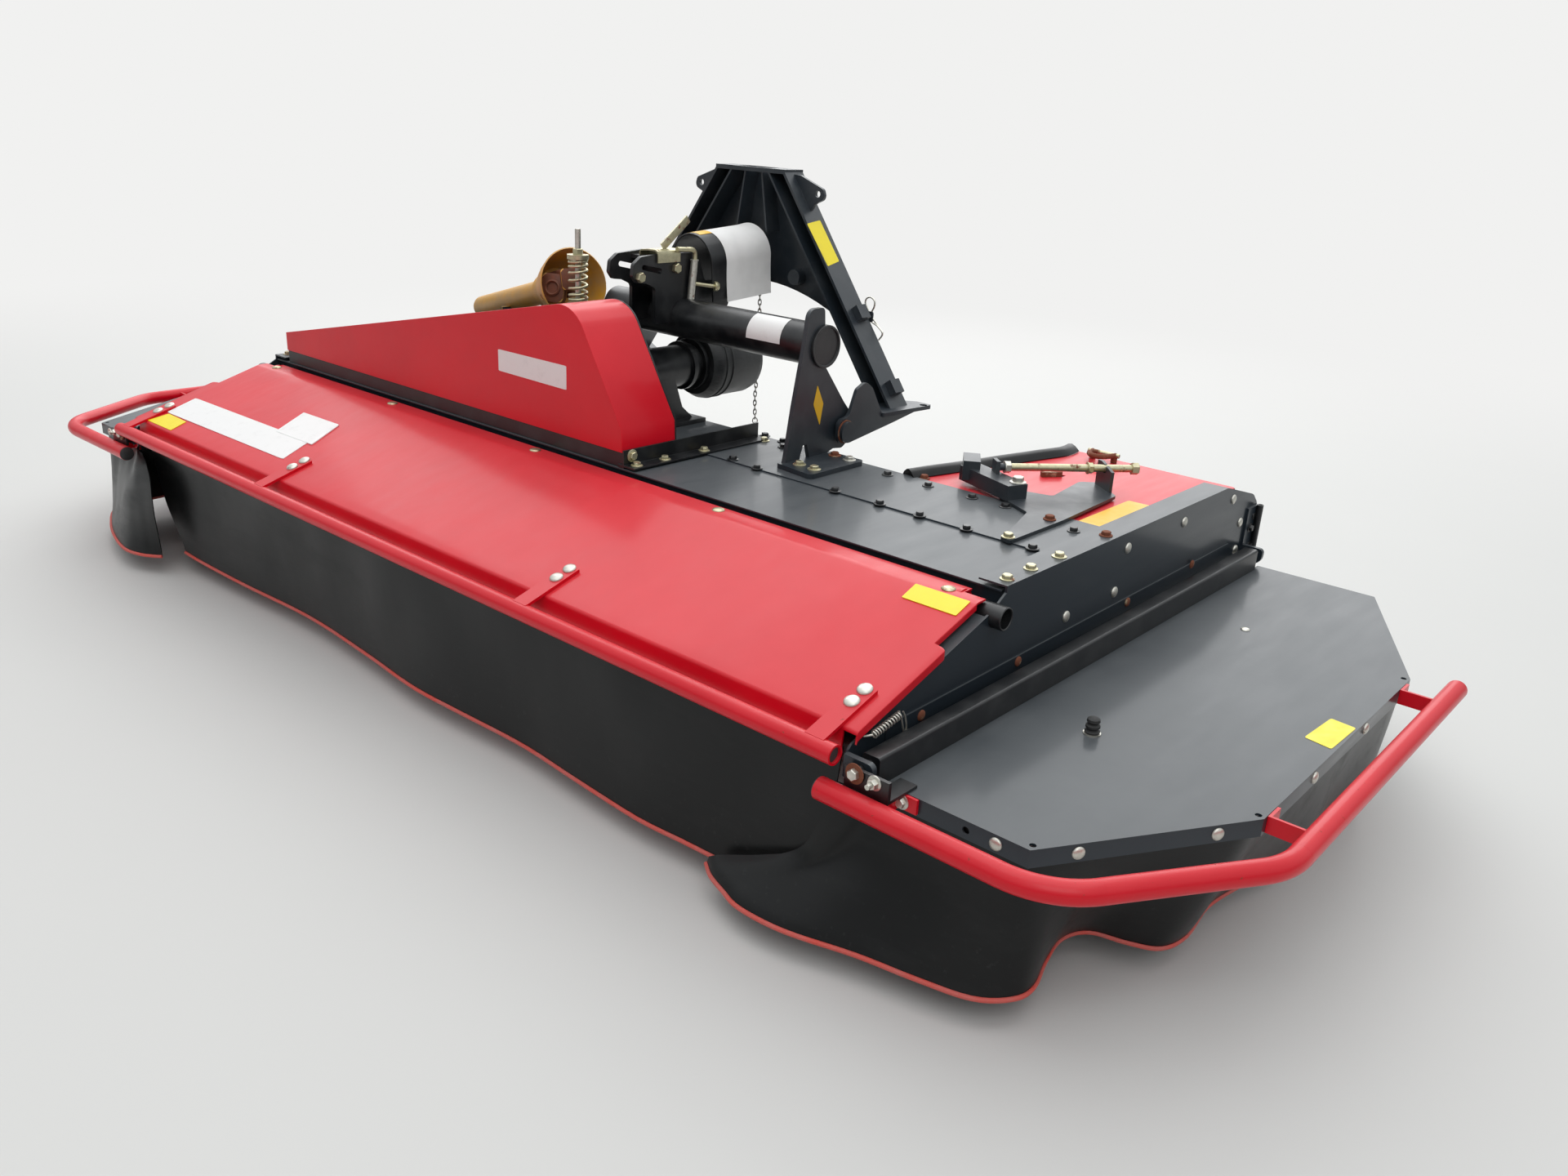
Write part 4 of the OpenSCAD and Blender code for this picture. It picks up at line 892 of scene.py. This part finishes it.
    def panel_flaps(self):
        """The rubber strips that fold over the inner edges of the rear panels and hang down beside them."""
        for side, letter in ((1, "l"), (-1, "r")):
            mesh = bmesh.new()
            line = spline([Vector((x, y, 0)) for x, y in self.PANEL_EDGE], 30)
            grid = []
            for k, spot in enumerate(line):
                along = (line[min(k + 1, len(line) - 1)] - line[max(k - 1, 0)]).normalized()
                across = Vector((along.y, -along.x, 0))
                grid.append([])
                for j, (out, rise) in enumerate(self.FLAP):
                    sway = noise.noise(Vector((spot.y / 120, rise / 60, side))) * 7 * min(1.0, max(0, j - 1) / 4)
                    point = spot + across * (out + sway)
                    height = DECK + rise + (sway * 0.6 if 2 <= j <= 5 else 0)
                    grid[-1].append(mesh.verts.new(at(point.x, point.y, height, side)))
            skin(mesh, grid)
            area = sum(face.calc_area() for face in mesh.faces)
            upward(mesh, lambda sheet: grid[3][3].normal.z)
            bmesh.ops.solidify(mesh, geom=mesh.faces[:], thickness=-sizes().curtain)
            flap = make_piece("panel_flap_" + letter, mesh, "frame", "rubber", 60)

    def falls(self, flare, sweep):
        """Pairs (drop, sweep) for the rows of a plain edge and of a free edge, evenly spaced along each."""
        plain = [(k / 40, (k / 40) ** flare) for k in range(41)]
        made = []
        for line in (plain, sweep):
            points = spread([Vector((v, out * 0.8, 0)) for v, out in line], self.ROWS + 1)
            made.append([(p.x, p.y / 0.8) for p in points])
        return made

    def curtain(self, name, body, top, hem, swept, node, flare, sweep=SWEPT):
        """A sheet between its top edge and its hem: straight down at first, then out to the hem."""
        plain, free = self.falls(flare, sweep)
        mesh = bmesh.new()
        grid = []
        for j in range(self.ROWS + 1):
            row = []
            for a, b, share in zip(top, hem, swept):
                v = plain[j][0] * (1 - share) + free[j][0] * share
                out = plain[j][1] * (1 - share) + free[j][1] * share
                lean = 0.5 * v * (1 - share) + (0.5 + 0.5 * share) * out
                point = Vector((a.x + (b.x - a.x) * lean, a.y + (b.y - a.y) * out, a.z + (b.z - a.z) * v))
                folds = sum(noise.noise(Vector((point.x * wide, point.y * wide, point.z * high + shift))) * depth
                            for wide, high, shift, depth in self.FOLDS)
                ripple = folds * math.sin(math.pi * min(1, v * 1.1))
                row.append(mesh.verts.new(point + Vector((ripple * 0.5, ripple, 0))))
            grid.append(row)
        skin(mesh, grid)
        area = sum(face.calc_area() for face in mesh.faces)
        hem_points = [v.co.copy() for v in grid[-1]]
        bmesh.ops.recalc_face_normals(mesh, faces=mesh.faces)
        bmesh.ops.solidify(mesh, geom=mesh.faces[:], thickness=sizes().curtain)
        sheet = make_piece(name, mesh, body, "rubber", 60, (node,))
        piping = bmesh.new()
        tube(piping, hem_points, sizes().piping / MM, 8)
        edge = make_piece(name + "_piping", piping, body, "piping_plastic", 60)


class MOWER_OT_fasteners(PieceOperator, bpy.types.Operator):
    """Bolts and rivets of every body"""
    bl_idname = "mower.fasteners"
    bl_label = "Fasteners"

    TAGS = "zinc chromate rusty_bolt black_paint"  # what the tags 0 to 3 stand for

    def build(self):
        random.seed(11)
        up = (0, 0, 1)
        deck = bmesh.new()
        for side in (1, -1):
            for x in (515, 769, 903, 1017, 1144, 1312):
                if side > 0 or x < 700:
                    hex_bolt(deck, at(x, 326, REAR_DECK, side), up, tag=3)
            for x in (763, 888, 1016, 1109, 1311):
                hex_bolt(deck, at(x, 542 if x < 1300 else 504, REAR_DECK, side), up, tag=3)
            for x, y, tag in ((1388, 101, 1), (1388, 190, 1), (1389, 302, 1), (1386, 510, 2), (1248, 330, 1),
                              (1242, 516, 2)):
                hex_bolt(deck, at(x, y, FLANGE, side), up, across=19, washer=15 if y != 302 else 16, tag=tag)
            for x, y, tag in ((588, 404, 1), (640, 400, 1), (588, 545, 2), (640, 540, 0)):
                hex_bolt(deck, at(x, y, REAR_DECK + 12.4, side), up, across=19, washer=17, tag=tag)
            for y, z, tag in ((327, 448, 0), (543, 448, 0), (579, 544, 0), (870, 544, 0), (1162, 544, 0)):
                cup_bolt(deck, at(1410, y, z, side), (side, 0, 0), tag=tag)
            for y, z, tag in ((-196, 397, 2), (138, 403, 2), (611, 407, 2), (951, 418, 2)):
                cup_bolt(deck, at(1414, y, z, side), (side, 0, 0), 11, 5, tag)
            for z, tag in ((466, 0), (390, 0)):
                cup_bolt(deck, at(1410, 1238, z, side), (side, 0, 0), tag=tag)
            for y, z, tag in ((1300, 440, 3), (1318, 385, 3)):
                hex_bolt(deck, at(1416, y, z, side), (side, 0, 0), across=16, height=7, washer=13, tag=tag)
            hex_bolt(deck, at(1095, 612, 618.4, side), up, across=24, height=12, washer=20)
        for x, y, tag in ((338, 547, 1), (419, 534, 3), (419, 339, 3), (306, 586, 3), (378, 578, 3), (834, 602, 2)):
            hex_bolt(deck, at(x, y, REAR_DECK if y < 590 else DECK), up, tag=tag)
        for y in (95, 190, 330):
            hex_bolt(deck, at(323, y, DECK + 9), up, tag=1)
        hex_bolt(deck, at(303, 97, DECK + 30), (1, 0, 0), across=19, washer=16, tag=1)
        hex_bolt(deck, at(62, 424, REAR_DECK + 12.4), up, across=24, height=14, washer=20, tag=1)
        make_piece("deck_bolts", deck, "frame", self.TAGS, 35)
        hood = bmesh.new()
        square = Vector((0, -HOOD_DROP, HOOD_RUN)).normalized()  # square to the front slope
        for x in (-1309, -665, 0, 665, 1309):
            cup_bolt(hood, at(x, 34 if abs(x) < 1000 else 18, HOOD_TOP), up, radius=15, height=5, tag=1)
        for x in (-1366, -555.6, 555.6, 1366):
            for y in (-346, -310):
                cup_bolt(hood, at(x, y, slope_height(y) + 7.7), square, 15.5, 8)
        make_piece("hood_bolts", hood, "hood", self.TAGS, 35)
        for side, body in ((1, "guard_l"), (-1, "guard_r")):
            guard = bmesh.new()
            corner = Vector((372, -229, 0)).normalized()
            for x, y, normal in ((1695, -372, (0, -1, 0)), (1803, -297, corner), (1940, -75, corner),
                                 (1986, 245, (1, 0, 0)), (1986, 527, (1, 0, 0))):
                spot = at(x, y, 331, side)
                cup_bolt(guard, spot, mirrored(normal, side), radius=12)
            hex_bolt(guard, at(1512, -378.4, 333, side), (0, -1, 0), across=17, washer=14)
            place = facing(at(1448, -432, 382, side), (0, -1, 0))
            disc(guard, place, 19, 2, 24, 2)
            hex_bolt(guard, at(1448, -434, 382, side), (0, -1, 0), across=19, height=9, washer=0)
            hex_bolt(guard, at(1489, -430, 380, side), (0, -1, 0), across=17, height=10, washer=14)
            rod(guard, ((1489, -438, 380), (1489, -452, 380)), 5, side=side)
            make_piece("guard_bolts_" + body[-1], guard, body, self.TAGS, 35)
        self.headstock_fasteners()

    def headstock_fasteners(self):
        mesh = bmesh.new()
        for side in (1, -1):
            place = facing(at(574, 600, 639, side), (side, 0, 0))
            disc(mesh, place, 31, 3, 32, 2)
            lathe(mesh, place, [(0, 3), (21, 3), (20, 9), (0, 10)], 28, 2)
        make_piece("headstock_pivot_washers", mesh, "headstock", self.TAGS, 35)


class MOWER_OT_labels(PieceOperator, bpy.types.Operator):
    """Blank yellow, orange and white labels"""
    bl_idname = "mower.labels"
    bl_label = "Labels"

    def build(self):
        hood = bmesh.new()
        for tag, lift, corners in ((0, 1.4, [(1248, -6), (1376, -5), (1377, -54), (1250, -54)]),
                                   (0, 1.4, [(-1347, -388), (-1322, -333), (-1200, -336), (-1192, -388)]),
                                   (1, 1.4, [(-1346, -235), (-668, -231), (-644, -326), (-1341, -330)]),
                                   (1, 2.2, [(-866, -136), (-674, -134), (-640, -240), (-834, -243)])):
            patch(hood, [(x, y, slope_height(y)) for x, y in corners], lift, 0.03, tag)
        make_piece("hood_labels", hood, "hood", "yellow_vinyl white_vinyl", 60)
        for name, body, vinyl, slot, lift, rounding, corners in (
            ("belt_cover_label", "frame", "white_vinyl", "red_paint", 0.3, 0.03,
             [(-195, 70, 732), (86, 70, 729), (86, 70, 790), (-195, 70, 789)]),
            ("rear_panel_label", "frame", "orange_vinyl", "red_paint", 0.4, 0.04,
             [(1274, 567, 570), (1342, 572, 570), (1342, 845, 570), (1274, 842, 570)]),
            ("guard_label", "guard_l", "yellow_vinyl", "grey_paint", 0.4, 0.06,
             [(1923, 358, 348), (1931, 481, 348), (1982, 474, 348), (1978, 347, 348)]),
            ("bracket_label", "frame", "orange_vinyl", "grey_paint", 0.4, 0.05,
             [(556, 496, 771), (556, 523, 721), (556, 513, 666), (556, 484, 723)]),
            ("headstock_label", "headstock", "yellow_vinyl", "grey_paint", 0.4, 0.04,
             [(227, 809, 1127), (222, 870, 1134), (297, 874, 1030), (304, 817, 1020)]),
        ):
            mesh = bmesh.new()
            patch(mesh, corners, lift, rounding)
            make_piece(name, mesh, body, vinyl, 60)


class MOWER_OT_springs(PieceOperator, bpy.types.Operator):
    """Coil spring and rod of the belt tensioner, and the latch springs of the side guards"""
    bl_idname = "mower.springs"
    bl_label = "Springs"

    def build(self):
        mesh = bmesh.new()
        rod(mesh, ((-190, 340, REAR_DECK + 0.4), (-190, 340, 1089)), 8, 12)
        for z in (878, 1009):
            disc(mesh, facing(at(-190, 340, z), (0, 0, 1)), 30, 12, tag=1)
        hex_bolt(mesh, at(-190, 340, 1021), (0, 0, 1), across=26, height=16, washer=0, tag=1)
        tube(mesh, coil(at(-190, 340, 894), at(-190, 340, 1005), 24, 7), sizes().spring_wire / MM / 2, 10, tag=1)
        prism(mesh, facing(at(-190, 354, REAR_DECK + 0.4), (0, 0, 1)), rounded_rectangle(80, 48, 4), 7.5, 1, tag=1)
        make_piece("tensioner_spring", mesh, "frame", "zinc chromate", replaces=("tensioner",))
        latch = bmesh.new()
        for side in (1, -1):
            start, end = at(1424, -355, 418, side), at(1424, -279, 431, side)
            tube(latch, coil(start, end, 6.5, 11, 0.05), 1.6, 8)
            pin = [(1424, -285, 439), (1424, -276, 428), (1424, -266, 400), (1424, -259, 387), (1424, -255, 396),
                   (1424, -262, 420), (1424, -270, 434)]
            bent_wire(latch, pin, 1.8, side=side)
            rod(latch, ((1413, -368, 416), (1424, -355, 418)), 2.2, 8, side=side)
        make_piece("guard_latch_springs", latch, "frame", "zinc")


class MOWER_OT_drive_shaft(PieceOperator, bpy.types.Operator):
    """Stowed drive shaft with its plastic guard and rusty yoke"""
    bl_idname = "mower.drive_shaft"
    bl_label = "Drive shaft"

    MOUTH = (-310, 425, 922)
    FAR = (-1000, 602, 750)

    def build(self):
        mesh = bmesh.new()
        start, end = at(*self.MOUTH), at(*self.FAR)
        place = facing(start, end - start)
        length = (end - start).length / MM
        cup = [(100, 0), (103, 3), (96, 30), (88, 60), (76, 96), (62, 128), (52, 150), (50, 190), (38, 198), (36, 220)]
        lathe(mesh, place, cup + [(36, length - 10), (33, length), (0, length)], 40)
        lathe(mesh, place, [(100, 0), (92, 30), (84, 60), (72, 92), (58, 120), (0, 130)], 40)
        lathe(mesh, place, [(0, 124), (24, 118), (24, 70), (34, 60), (34, 40), (0, 38)], 24, tag=1)
        yoke = facing(at(-349, 390, 906), (0.55, -0.8, 0.2), (0, 0.1, 1))
        prism(mesh, yoke, rounded_rectangle(80, 66, 14), 34, 3, tag=1)
        prism(mesh, facing(at(-300, 404, 938), end - start, (0, 0, 1)), rounded_rectangle(60, 56, 10), 110, 3, tag=1)
        lathe(mesh, yoke, [(15, 34), (23, 34), (23, 39), (19, 41), (15, 38), (13, 20), (0, 20)], 24, tag=1)
        prism(mesh, facing(at(-716, 530, 690), (-1, 0, 0), (0, 0, 1)),
              [(-112, -60), (110, -60), (110, 60), (-112, 60)], 8, 1.5, tag=2)
        make_piece("stowed_drive_shaft", mesh, "frame", "ochre_plastic iron black_paint",
                   50, ("stowed_shaft",))


class MOWER_OT_latch(PieceOperator, bpy.types.Operator):
    """Saddle, levers and rods of the latch, with the blank paper and labels over its cover and the cross tube"""
    bl_idname = "mower.latch"
    bl_label = "Latch"

    COVER = (590, 1008, 4.4, 80)  # front end, height of the centre, tilt in degrees, radius
    TUBE = (515, 868, 54)  # y and height of the cross tube, and its radius
    SHEET = 0.3  # thickness of paper and film

    def build(self):
        self.rods()
        self.wraps()
        self.chain()
        self.clip()

    def rods(self):
        mesh = bmesh.new()
        saddle = [(-14, 1024), (-14, 1046), (-8, 1052), (20, 1055), (48, 1056), (57, 1052), (60, 1044), (60, 1022)]
        folded_plate(mesh, saddle, 405, 487, 4, tag=1)
        flat_bar(mesh, at(36, 440, 1060), at(36, 534, 1131), 22, 5, (1, 0, 0), tag=1)
        hook = [(64, 470, 1056), (64, 500, 1054), (64, 524, 1053), (64, 534, 1048), (64, 538, 1038), (64, 537, 1014)]
        bent_wire(mesh, hook, 6.5, 12, tag=1)
        rod(mesh, ((64, 536, 1022), (64, 523, 906)), 10, 16)
        lathe(mesh, facing(at(64, 536, 1022), (0, 0, 1)), [(0, 0), (11.5, 0), (11.5, 4), (0, 5)], 20)
        foot = [at(40, 511, 908), at(84, 519, 903)]
        tube(mesh, foot, 6, 12)
        for end, way in zip(foot, (-1, 1)):
            lathe(mesh, facing(end, (way, 0.1 * way, 0)), [(0, 0), (10, 0), (10, 5), (8, 7), (0, 8)], 20)
        rod(mesh, ((62, 534, 962), (84, 600, 952)), 5.5, 12, tag=1)
        lathe(mesh, facing(at(82, 596, 953), (0.3, 1, -0.1)), [(0, 0), (13, 0), (13, 10), (10, 14), (0, 15)], 20, 1)
        for x, y, z in ((52.4, 476, 1005), (52.4, 345, 988)):
            hex_bolt(mesh, at(x, y, z), (1, 0, 0), across=24, height=13, washer=0, tag=1)
        make_piece("latch_rods", mesh, "frame", "zinc chromate")

    def cover_point(self, along, angle, radius):
        front, height, tilt, _ = self.COVER
        tilt, angle = math.radians(tilt), math.radians(angle)
        x, rise = radius * math.cos(angle), radius * math.sin(angle)
        return at(x, front + along * math.cos(tilt) - rise * math.sin(tilt),
                  height + along * math.sin(tilt) + rise * math.cos(tilt))

    def wrapped(self, name, grid, coat):
        """A thin piece with its underside on a grid of points, each with the way in which it is thickened."""
        mesh = bmesh.new()
        under = [[mesh.verts.new(p) for p, _ in row] for row in grid]
        over = [[mesh.verts.new(p + n * self.SHEET * MM) for p, n in row] for row in grid]
        rows, columns = len(grid), len(grid[0])
        for i in range(rows - 1):
            for j in range(columns - 1):
                for side, flip in ((under, 1), (over, -1)):
                    quad = (side[i][j], side[i + 1][j], side[i + 1][j + 1], side[i][j + 1])
                    mesh.faces.new(quad[::flip])
        rim = [(i, 0) for i in range(rows)] + [(rows - 1, j) for j in range(1, columns)]
        rim += [(i, columns - 1) for i in range(rows - 2, -1, -1)] + [(0, j) for j in range(columns - 2, 0, -1)]
        for (i, j), (k, m) in zip(rim, rim[1:] + rim[:1]):
            mesh.faces.new((under[i][j], under[k][m], over[k][m], over[i][j]))
        make_piece(name, mesh, "frame", coat, 60)

    def wraps(self):
        """The paper over the latch cover, which hangs straight down beside it and stands off at its rear edge, and
        the labels of cover and cross tube."""
        radius = self.COVER[3]
        grid = []
        for i, along in enumerate(range(57, 238, 15)):
            row = []
            for j in range(29):
                angle = 112 - j * 6.7
                if angle > 0:
                    spot = self.cover_point(along, angle, radius + 0.6)
                    away = self.cover_point(along, angle, radius + 9)
                    normal = (away - spot).normalized()
                else:
                    spot = self.cover_point(along, 0, radius + 0.6) + Vector((-0.0002, 0, angle * radius * MM / 57.3))
                    spot.x += 0.004 * (angle / 55) ** 2
                    normal = Vector((1, 0, 0))
                if i > 10:
                    spot += normal * 0.001 * (i - 10)
                row.append((spot, normal))
            grid.append(row)
        self.wrapped("latch_cover_paper", grid, "paper")
        grid = [[(self.cover_point(along, angle, radius + 0.4),
                  (self.cover_point(along, angle, radius + 9) - self.cover_point(along, angle, radius)).normalized())
                 for angle in range(122, 70, -5)] for along in (10, 22, 34, 46, 58)]
        self.wrapped("latch_cover_label", grid, "orange_vinyl")
        y, z, radius = self.TUBE
        grid = []
        for x in (335, 365, 395, 425, 452):
            row = []
            for angle in range(-6, 80, 6):
                normal = Vector((0, -math.cos(math.radians(angle)), math.sin(math.radians(angle))))
                row.append((at(x, y, z) + normal * (radius + 0.4) * MM, normal))
            grid.append(row)
        self.wrapped("cross_tube_label", grid, "white_vinyl")

    def chain(self):
        """A thin chain of oval links that hangs from the rear edge of the cover, with larger links at its end."""
        mesh = bmesh.new()
        top, drop, links = (50, 823), 572, 42
        pitch = drop / links
        for k in range(links):
            size = 1.6 if k > links - 4 else 1.0
            centre = at(top[0] + 2 * math.sin(k * 0.5), top[1] + math.sin(k * 0.3), 1086 - pitch * (k + 0.5))
            turn = math.radians(90 * k + 40)
            flat = Vector((math.cos(turn), math.sin(turn), 0))
            ring = [centre + flat * 4.5 * size * MM * math.cos(a) + Vector((0, 0, 1)) * pitch * 0.72 * MM * math.sin(a)
                    for a in (2 * math.pi * j / 10 for j in range(10))]
            tube(mesh, ring, 1.6, 6, closed=True)
        rod(mesh, ((50, 823, 1091), (50, 823, 1080)), 2.5, 8)
        make_piece("latch_chain", mesh, "frame", "dull_zinc")

    def clip(self):
        """The spring clip of the headstock's stay, of bent steel wire, in its tab."""
        mesh = bmesh.new()
        loop = [(433, 905, 828), (445, 904, 848), (424, 901, 872), (402, 900, 893), (388, 900, 912), (380, 900, 926),
                (385, 900, 938), (398, 900, 942), (411, 900, 935), (413, 900, 920), (406, 900, 905), (398, 899, 893),
                (408, 899, 876), (428, 898, 868), (451, 897, 852)]
        bent_wire(mesh, loop, 2.5)
        make_piece("headstock_clip", mesh, "headstock", "zinc")
        tab = bmesh.new()
        prism(tab, facing(at(368, 896, 889), (0, 1, 0), (1, 0, 0)), rounded_rectangle(88, 30, 6, 3), 5, 0.8)
        make_piece("headstock_tab", tab, "headstock", "anthracite_paint")


class MOWER_OT_small_parts(PieceOperator, bpy.types.Operator):
    """Bumpers, end caps and the small brackets at the rear corners"""
    bl_idname = "mower.small_parts"
    bl_label = "Small parts"

    def build(self):
        self.bumpers()
        self.caps()
        self.rear_corners()
        self.adjuster_ends()

    def bumpers(self):
        for side, body in ((1, "guard_l"), (-1, "guard_r")):
            mesh = bmesh.new()
            place = facing(at(1628, 66, 348, side), (0, 0, 1))
            disc(mesh, place, 17, 2.5, tag=1)
            lathe(mesh, place, [(0, 2.5), (14, 2.5), (15, 6), (10, 10), (14, 14), (14, 18), (9, 22), (13, 26), (12, 31),
                                (7, 34), (0, 35)], 28)
            cup_bolt(mesh, at(1622, 810, 348, side), (0, 0, 1), radius=11, height=4, tag=1)
            make_piece("bumper_" + body[-1], mesh, body, "moulded_rubber zinc")

    def caps(self):
        mesh = bmesh.new()
        for side in (1, -1):
            lathe(mesh, facing(at(1404, -444, 407, side), (side, 0, 0)), [(0, 0), (14.7, 0), (14.7, 3), (0, 3.4)], 28)
        make_piece("bar_caps", mesh, "hood", "black_plastic")
        for side, body in ((1, "guard_l"), (-1, "guard_r")):
            mesh = bmesh.new()
            for x, y, normal in ((1386, -447, (-1, 0, 0)), (2067, 863, (0, 1, 0))):
                lathe(mesh, facing(at(x, y, 335, side), mirrored(normal, side)),
                      [(0, 0), (20.5, 0), (20.5, 2), (17, 4), (0, 4.4)], 28)
            make_piece("guard_bar_caps_" + body[-1], mesh, body, "black_plastic")

    def rear_corners(self):
        """An open tube with its bracket behind each side panel, and the strap at the panel's rear edge."""
        for side, letter in ((1, "l"), (-1, "r")):
            mesh = bmesh.new()
            place = facing(at(1424, 1327, 352, side), (0, 0, 1))
            lathe(mesh, place, [(6, 0), (8.5, 0), (8.5, 148), (6, 148), (6, 0)], 24)
            foot = at(1404, 1318, 372, side)
            prism(mesh, facing(foot, (side, 0, 0), (0, 1, 0)), rounded_rectangle(34, 30, 5), 14, 1, tag=1)
            prism(mesh, facing(at(1404, 1318, 470, side), (side, 0, 0), (0, 1, 0)),
                  rounded_rectangle(30, 16, 4), 14, 1)
            make_piece("rear_corner_tube_" + letter, mesh, "frame", "black_paint iron")

    def adjuster_ends(self):
        """Nuts and the rusty clevis on the threaded rods of the swath adjusters."""
        mesh = bmesh.new()
        for side in (1, -1):
            turn = math.radians(49)
            way = Vector((math.cos(turn) * side, math.sin(turn), 0))
            foot = at(1012, 644, 632.4, side)
            tube(mesh, [foot + way * 0.026, foot + way * 0.35], 9.4, 16, tag=1)
            ends = ((20, 26, 14, 15, 0), (232, 24, 12, 15, 1), (346, 26, 18, 0, 1))
            for distance, across, height, washer, tag in ends:
                hex_bolt(mesh, foot + way * distance * MM, way, across, height, washer, tag, (0, 0, 1))
            block = ((1006, 876, 570), (1036, 928, 570), (1056, 904, 570), (1022, 856, 570))
            patch(mesh, [mirrored(p, side) for p in block], 12, 0.1, 2)
            clevis = [(1008, 1150, 590), (1018, 1110, 592), (1042, 1092, 592), (1066, 1104, 592), (1076, 1150, 590)]
            bent_wire(mesh, clevis, 7, 10, 2, side, 8)
            rod(mesh, ((996, 1148, 590), (1088, 1148, 590)), 6, 10, 1, side)
            for x in (1010, 1074):
                rod(mesh, ((x, 1148, 571), (x, 1148, 590)), 9, 10, 2, side)
        make_piece("adjuster_nuts", mesh, "frame", "zinc chromate rusty_bolt")


CLASSES = (
    MowerSizes, MowerColours, MOWER_OT_stage, MOWER_OT_carried_nodes, MOWER_OT_hood, MOWER_OT_curtains,
    MOWER_OT_fasteners, MOWER_OT_labels, MOWER_OT_springs, MOWER_OT_drive_shaft, MOWER_OT_latch,
    MOWER_OT_small_parts,
)


class MOWER_PT_panel(bpy.types.Panel):
    """Lists the mower's pieces in the order in which they are made"""
    bl_label = "Mower"
    bl_idname = "MOWER_PT_panel"
    bl_space_type = "VIEW_3D"
    bl_region_type = "UI"
    bl_category = "Mower"

    def draw(self, context):
        for group in (context.scene.mower_sizes, context.scene.mower_colours):
            for name in group.__annotations__:
                self.layout.prop(group, name)
        for one in operators():
            self.layout.operator(one.bl_idname)


def operators():
    return [one for one in CLASSES if issubclass(one, bpy.types.Operator)]


def register():
    for one in (*CLASSES, MOWER_PT_panel):
        bpy.utils.register_class(one)
    bpy.types.Scene.mower_sizes = bpy.props.PointerProperty(type=MowerSizes)
    bpy.types.Scene.mower_colours = bpy.props.PointerProperty(type=MowerColours)


def unregister():
    del bpy.types.Scene.mower_colours
    del bpy.types.Scene.mower_sizes
    for one in (MOWER_PT_panel, *reversed(CLASSES)):
        bpy.utils.unregister_class(one)


def main():
    register()
    for one in operators():
        group, name = one.bl_idname.split(".")
        getattr(getattr(bpy.ops, group), name)()


if __name__ == "__main__":
    main()
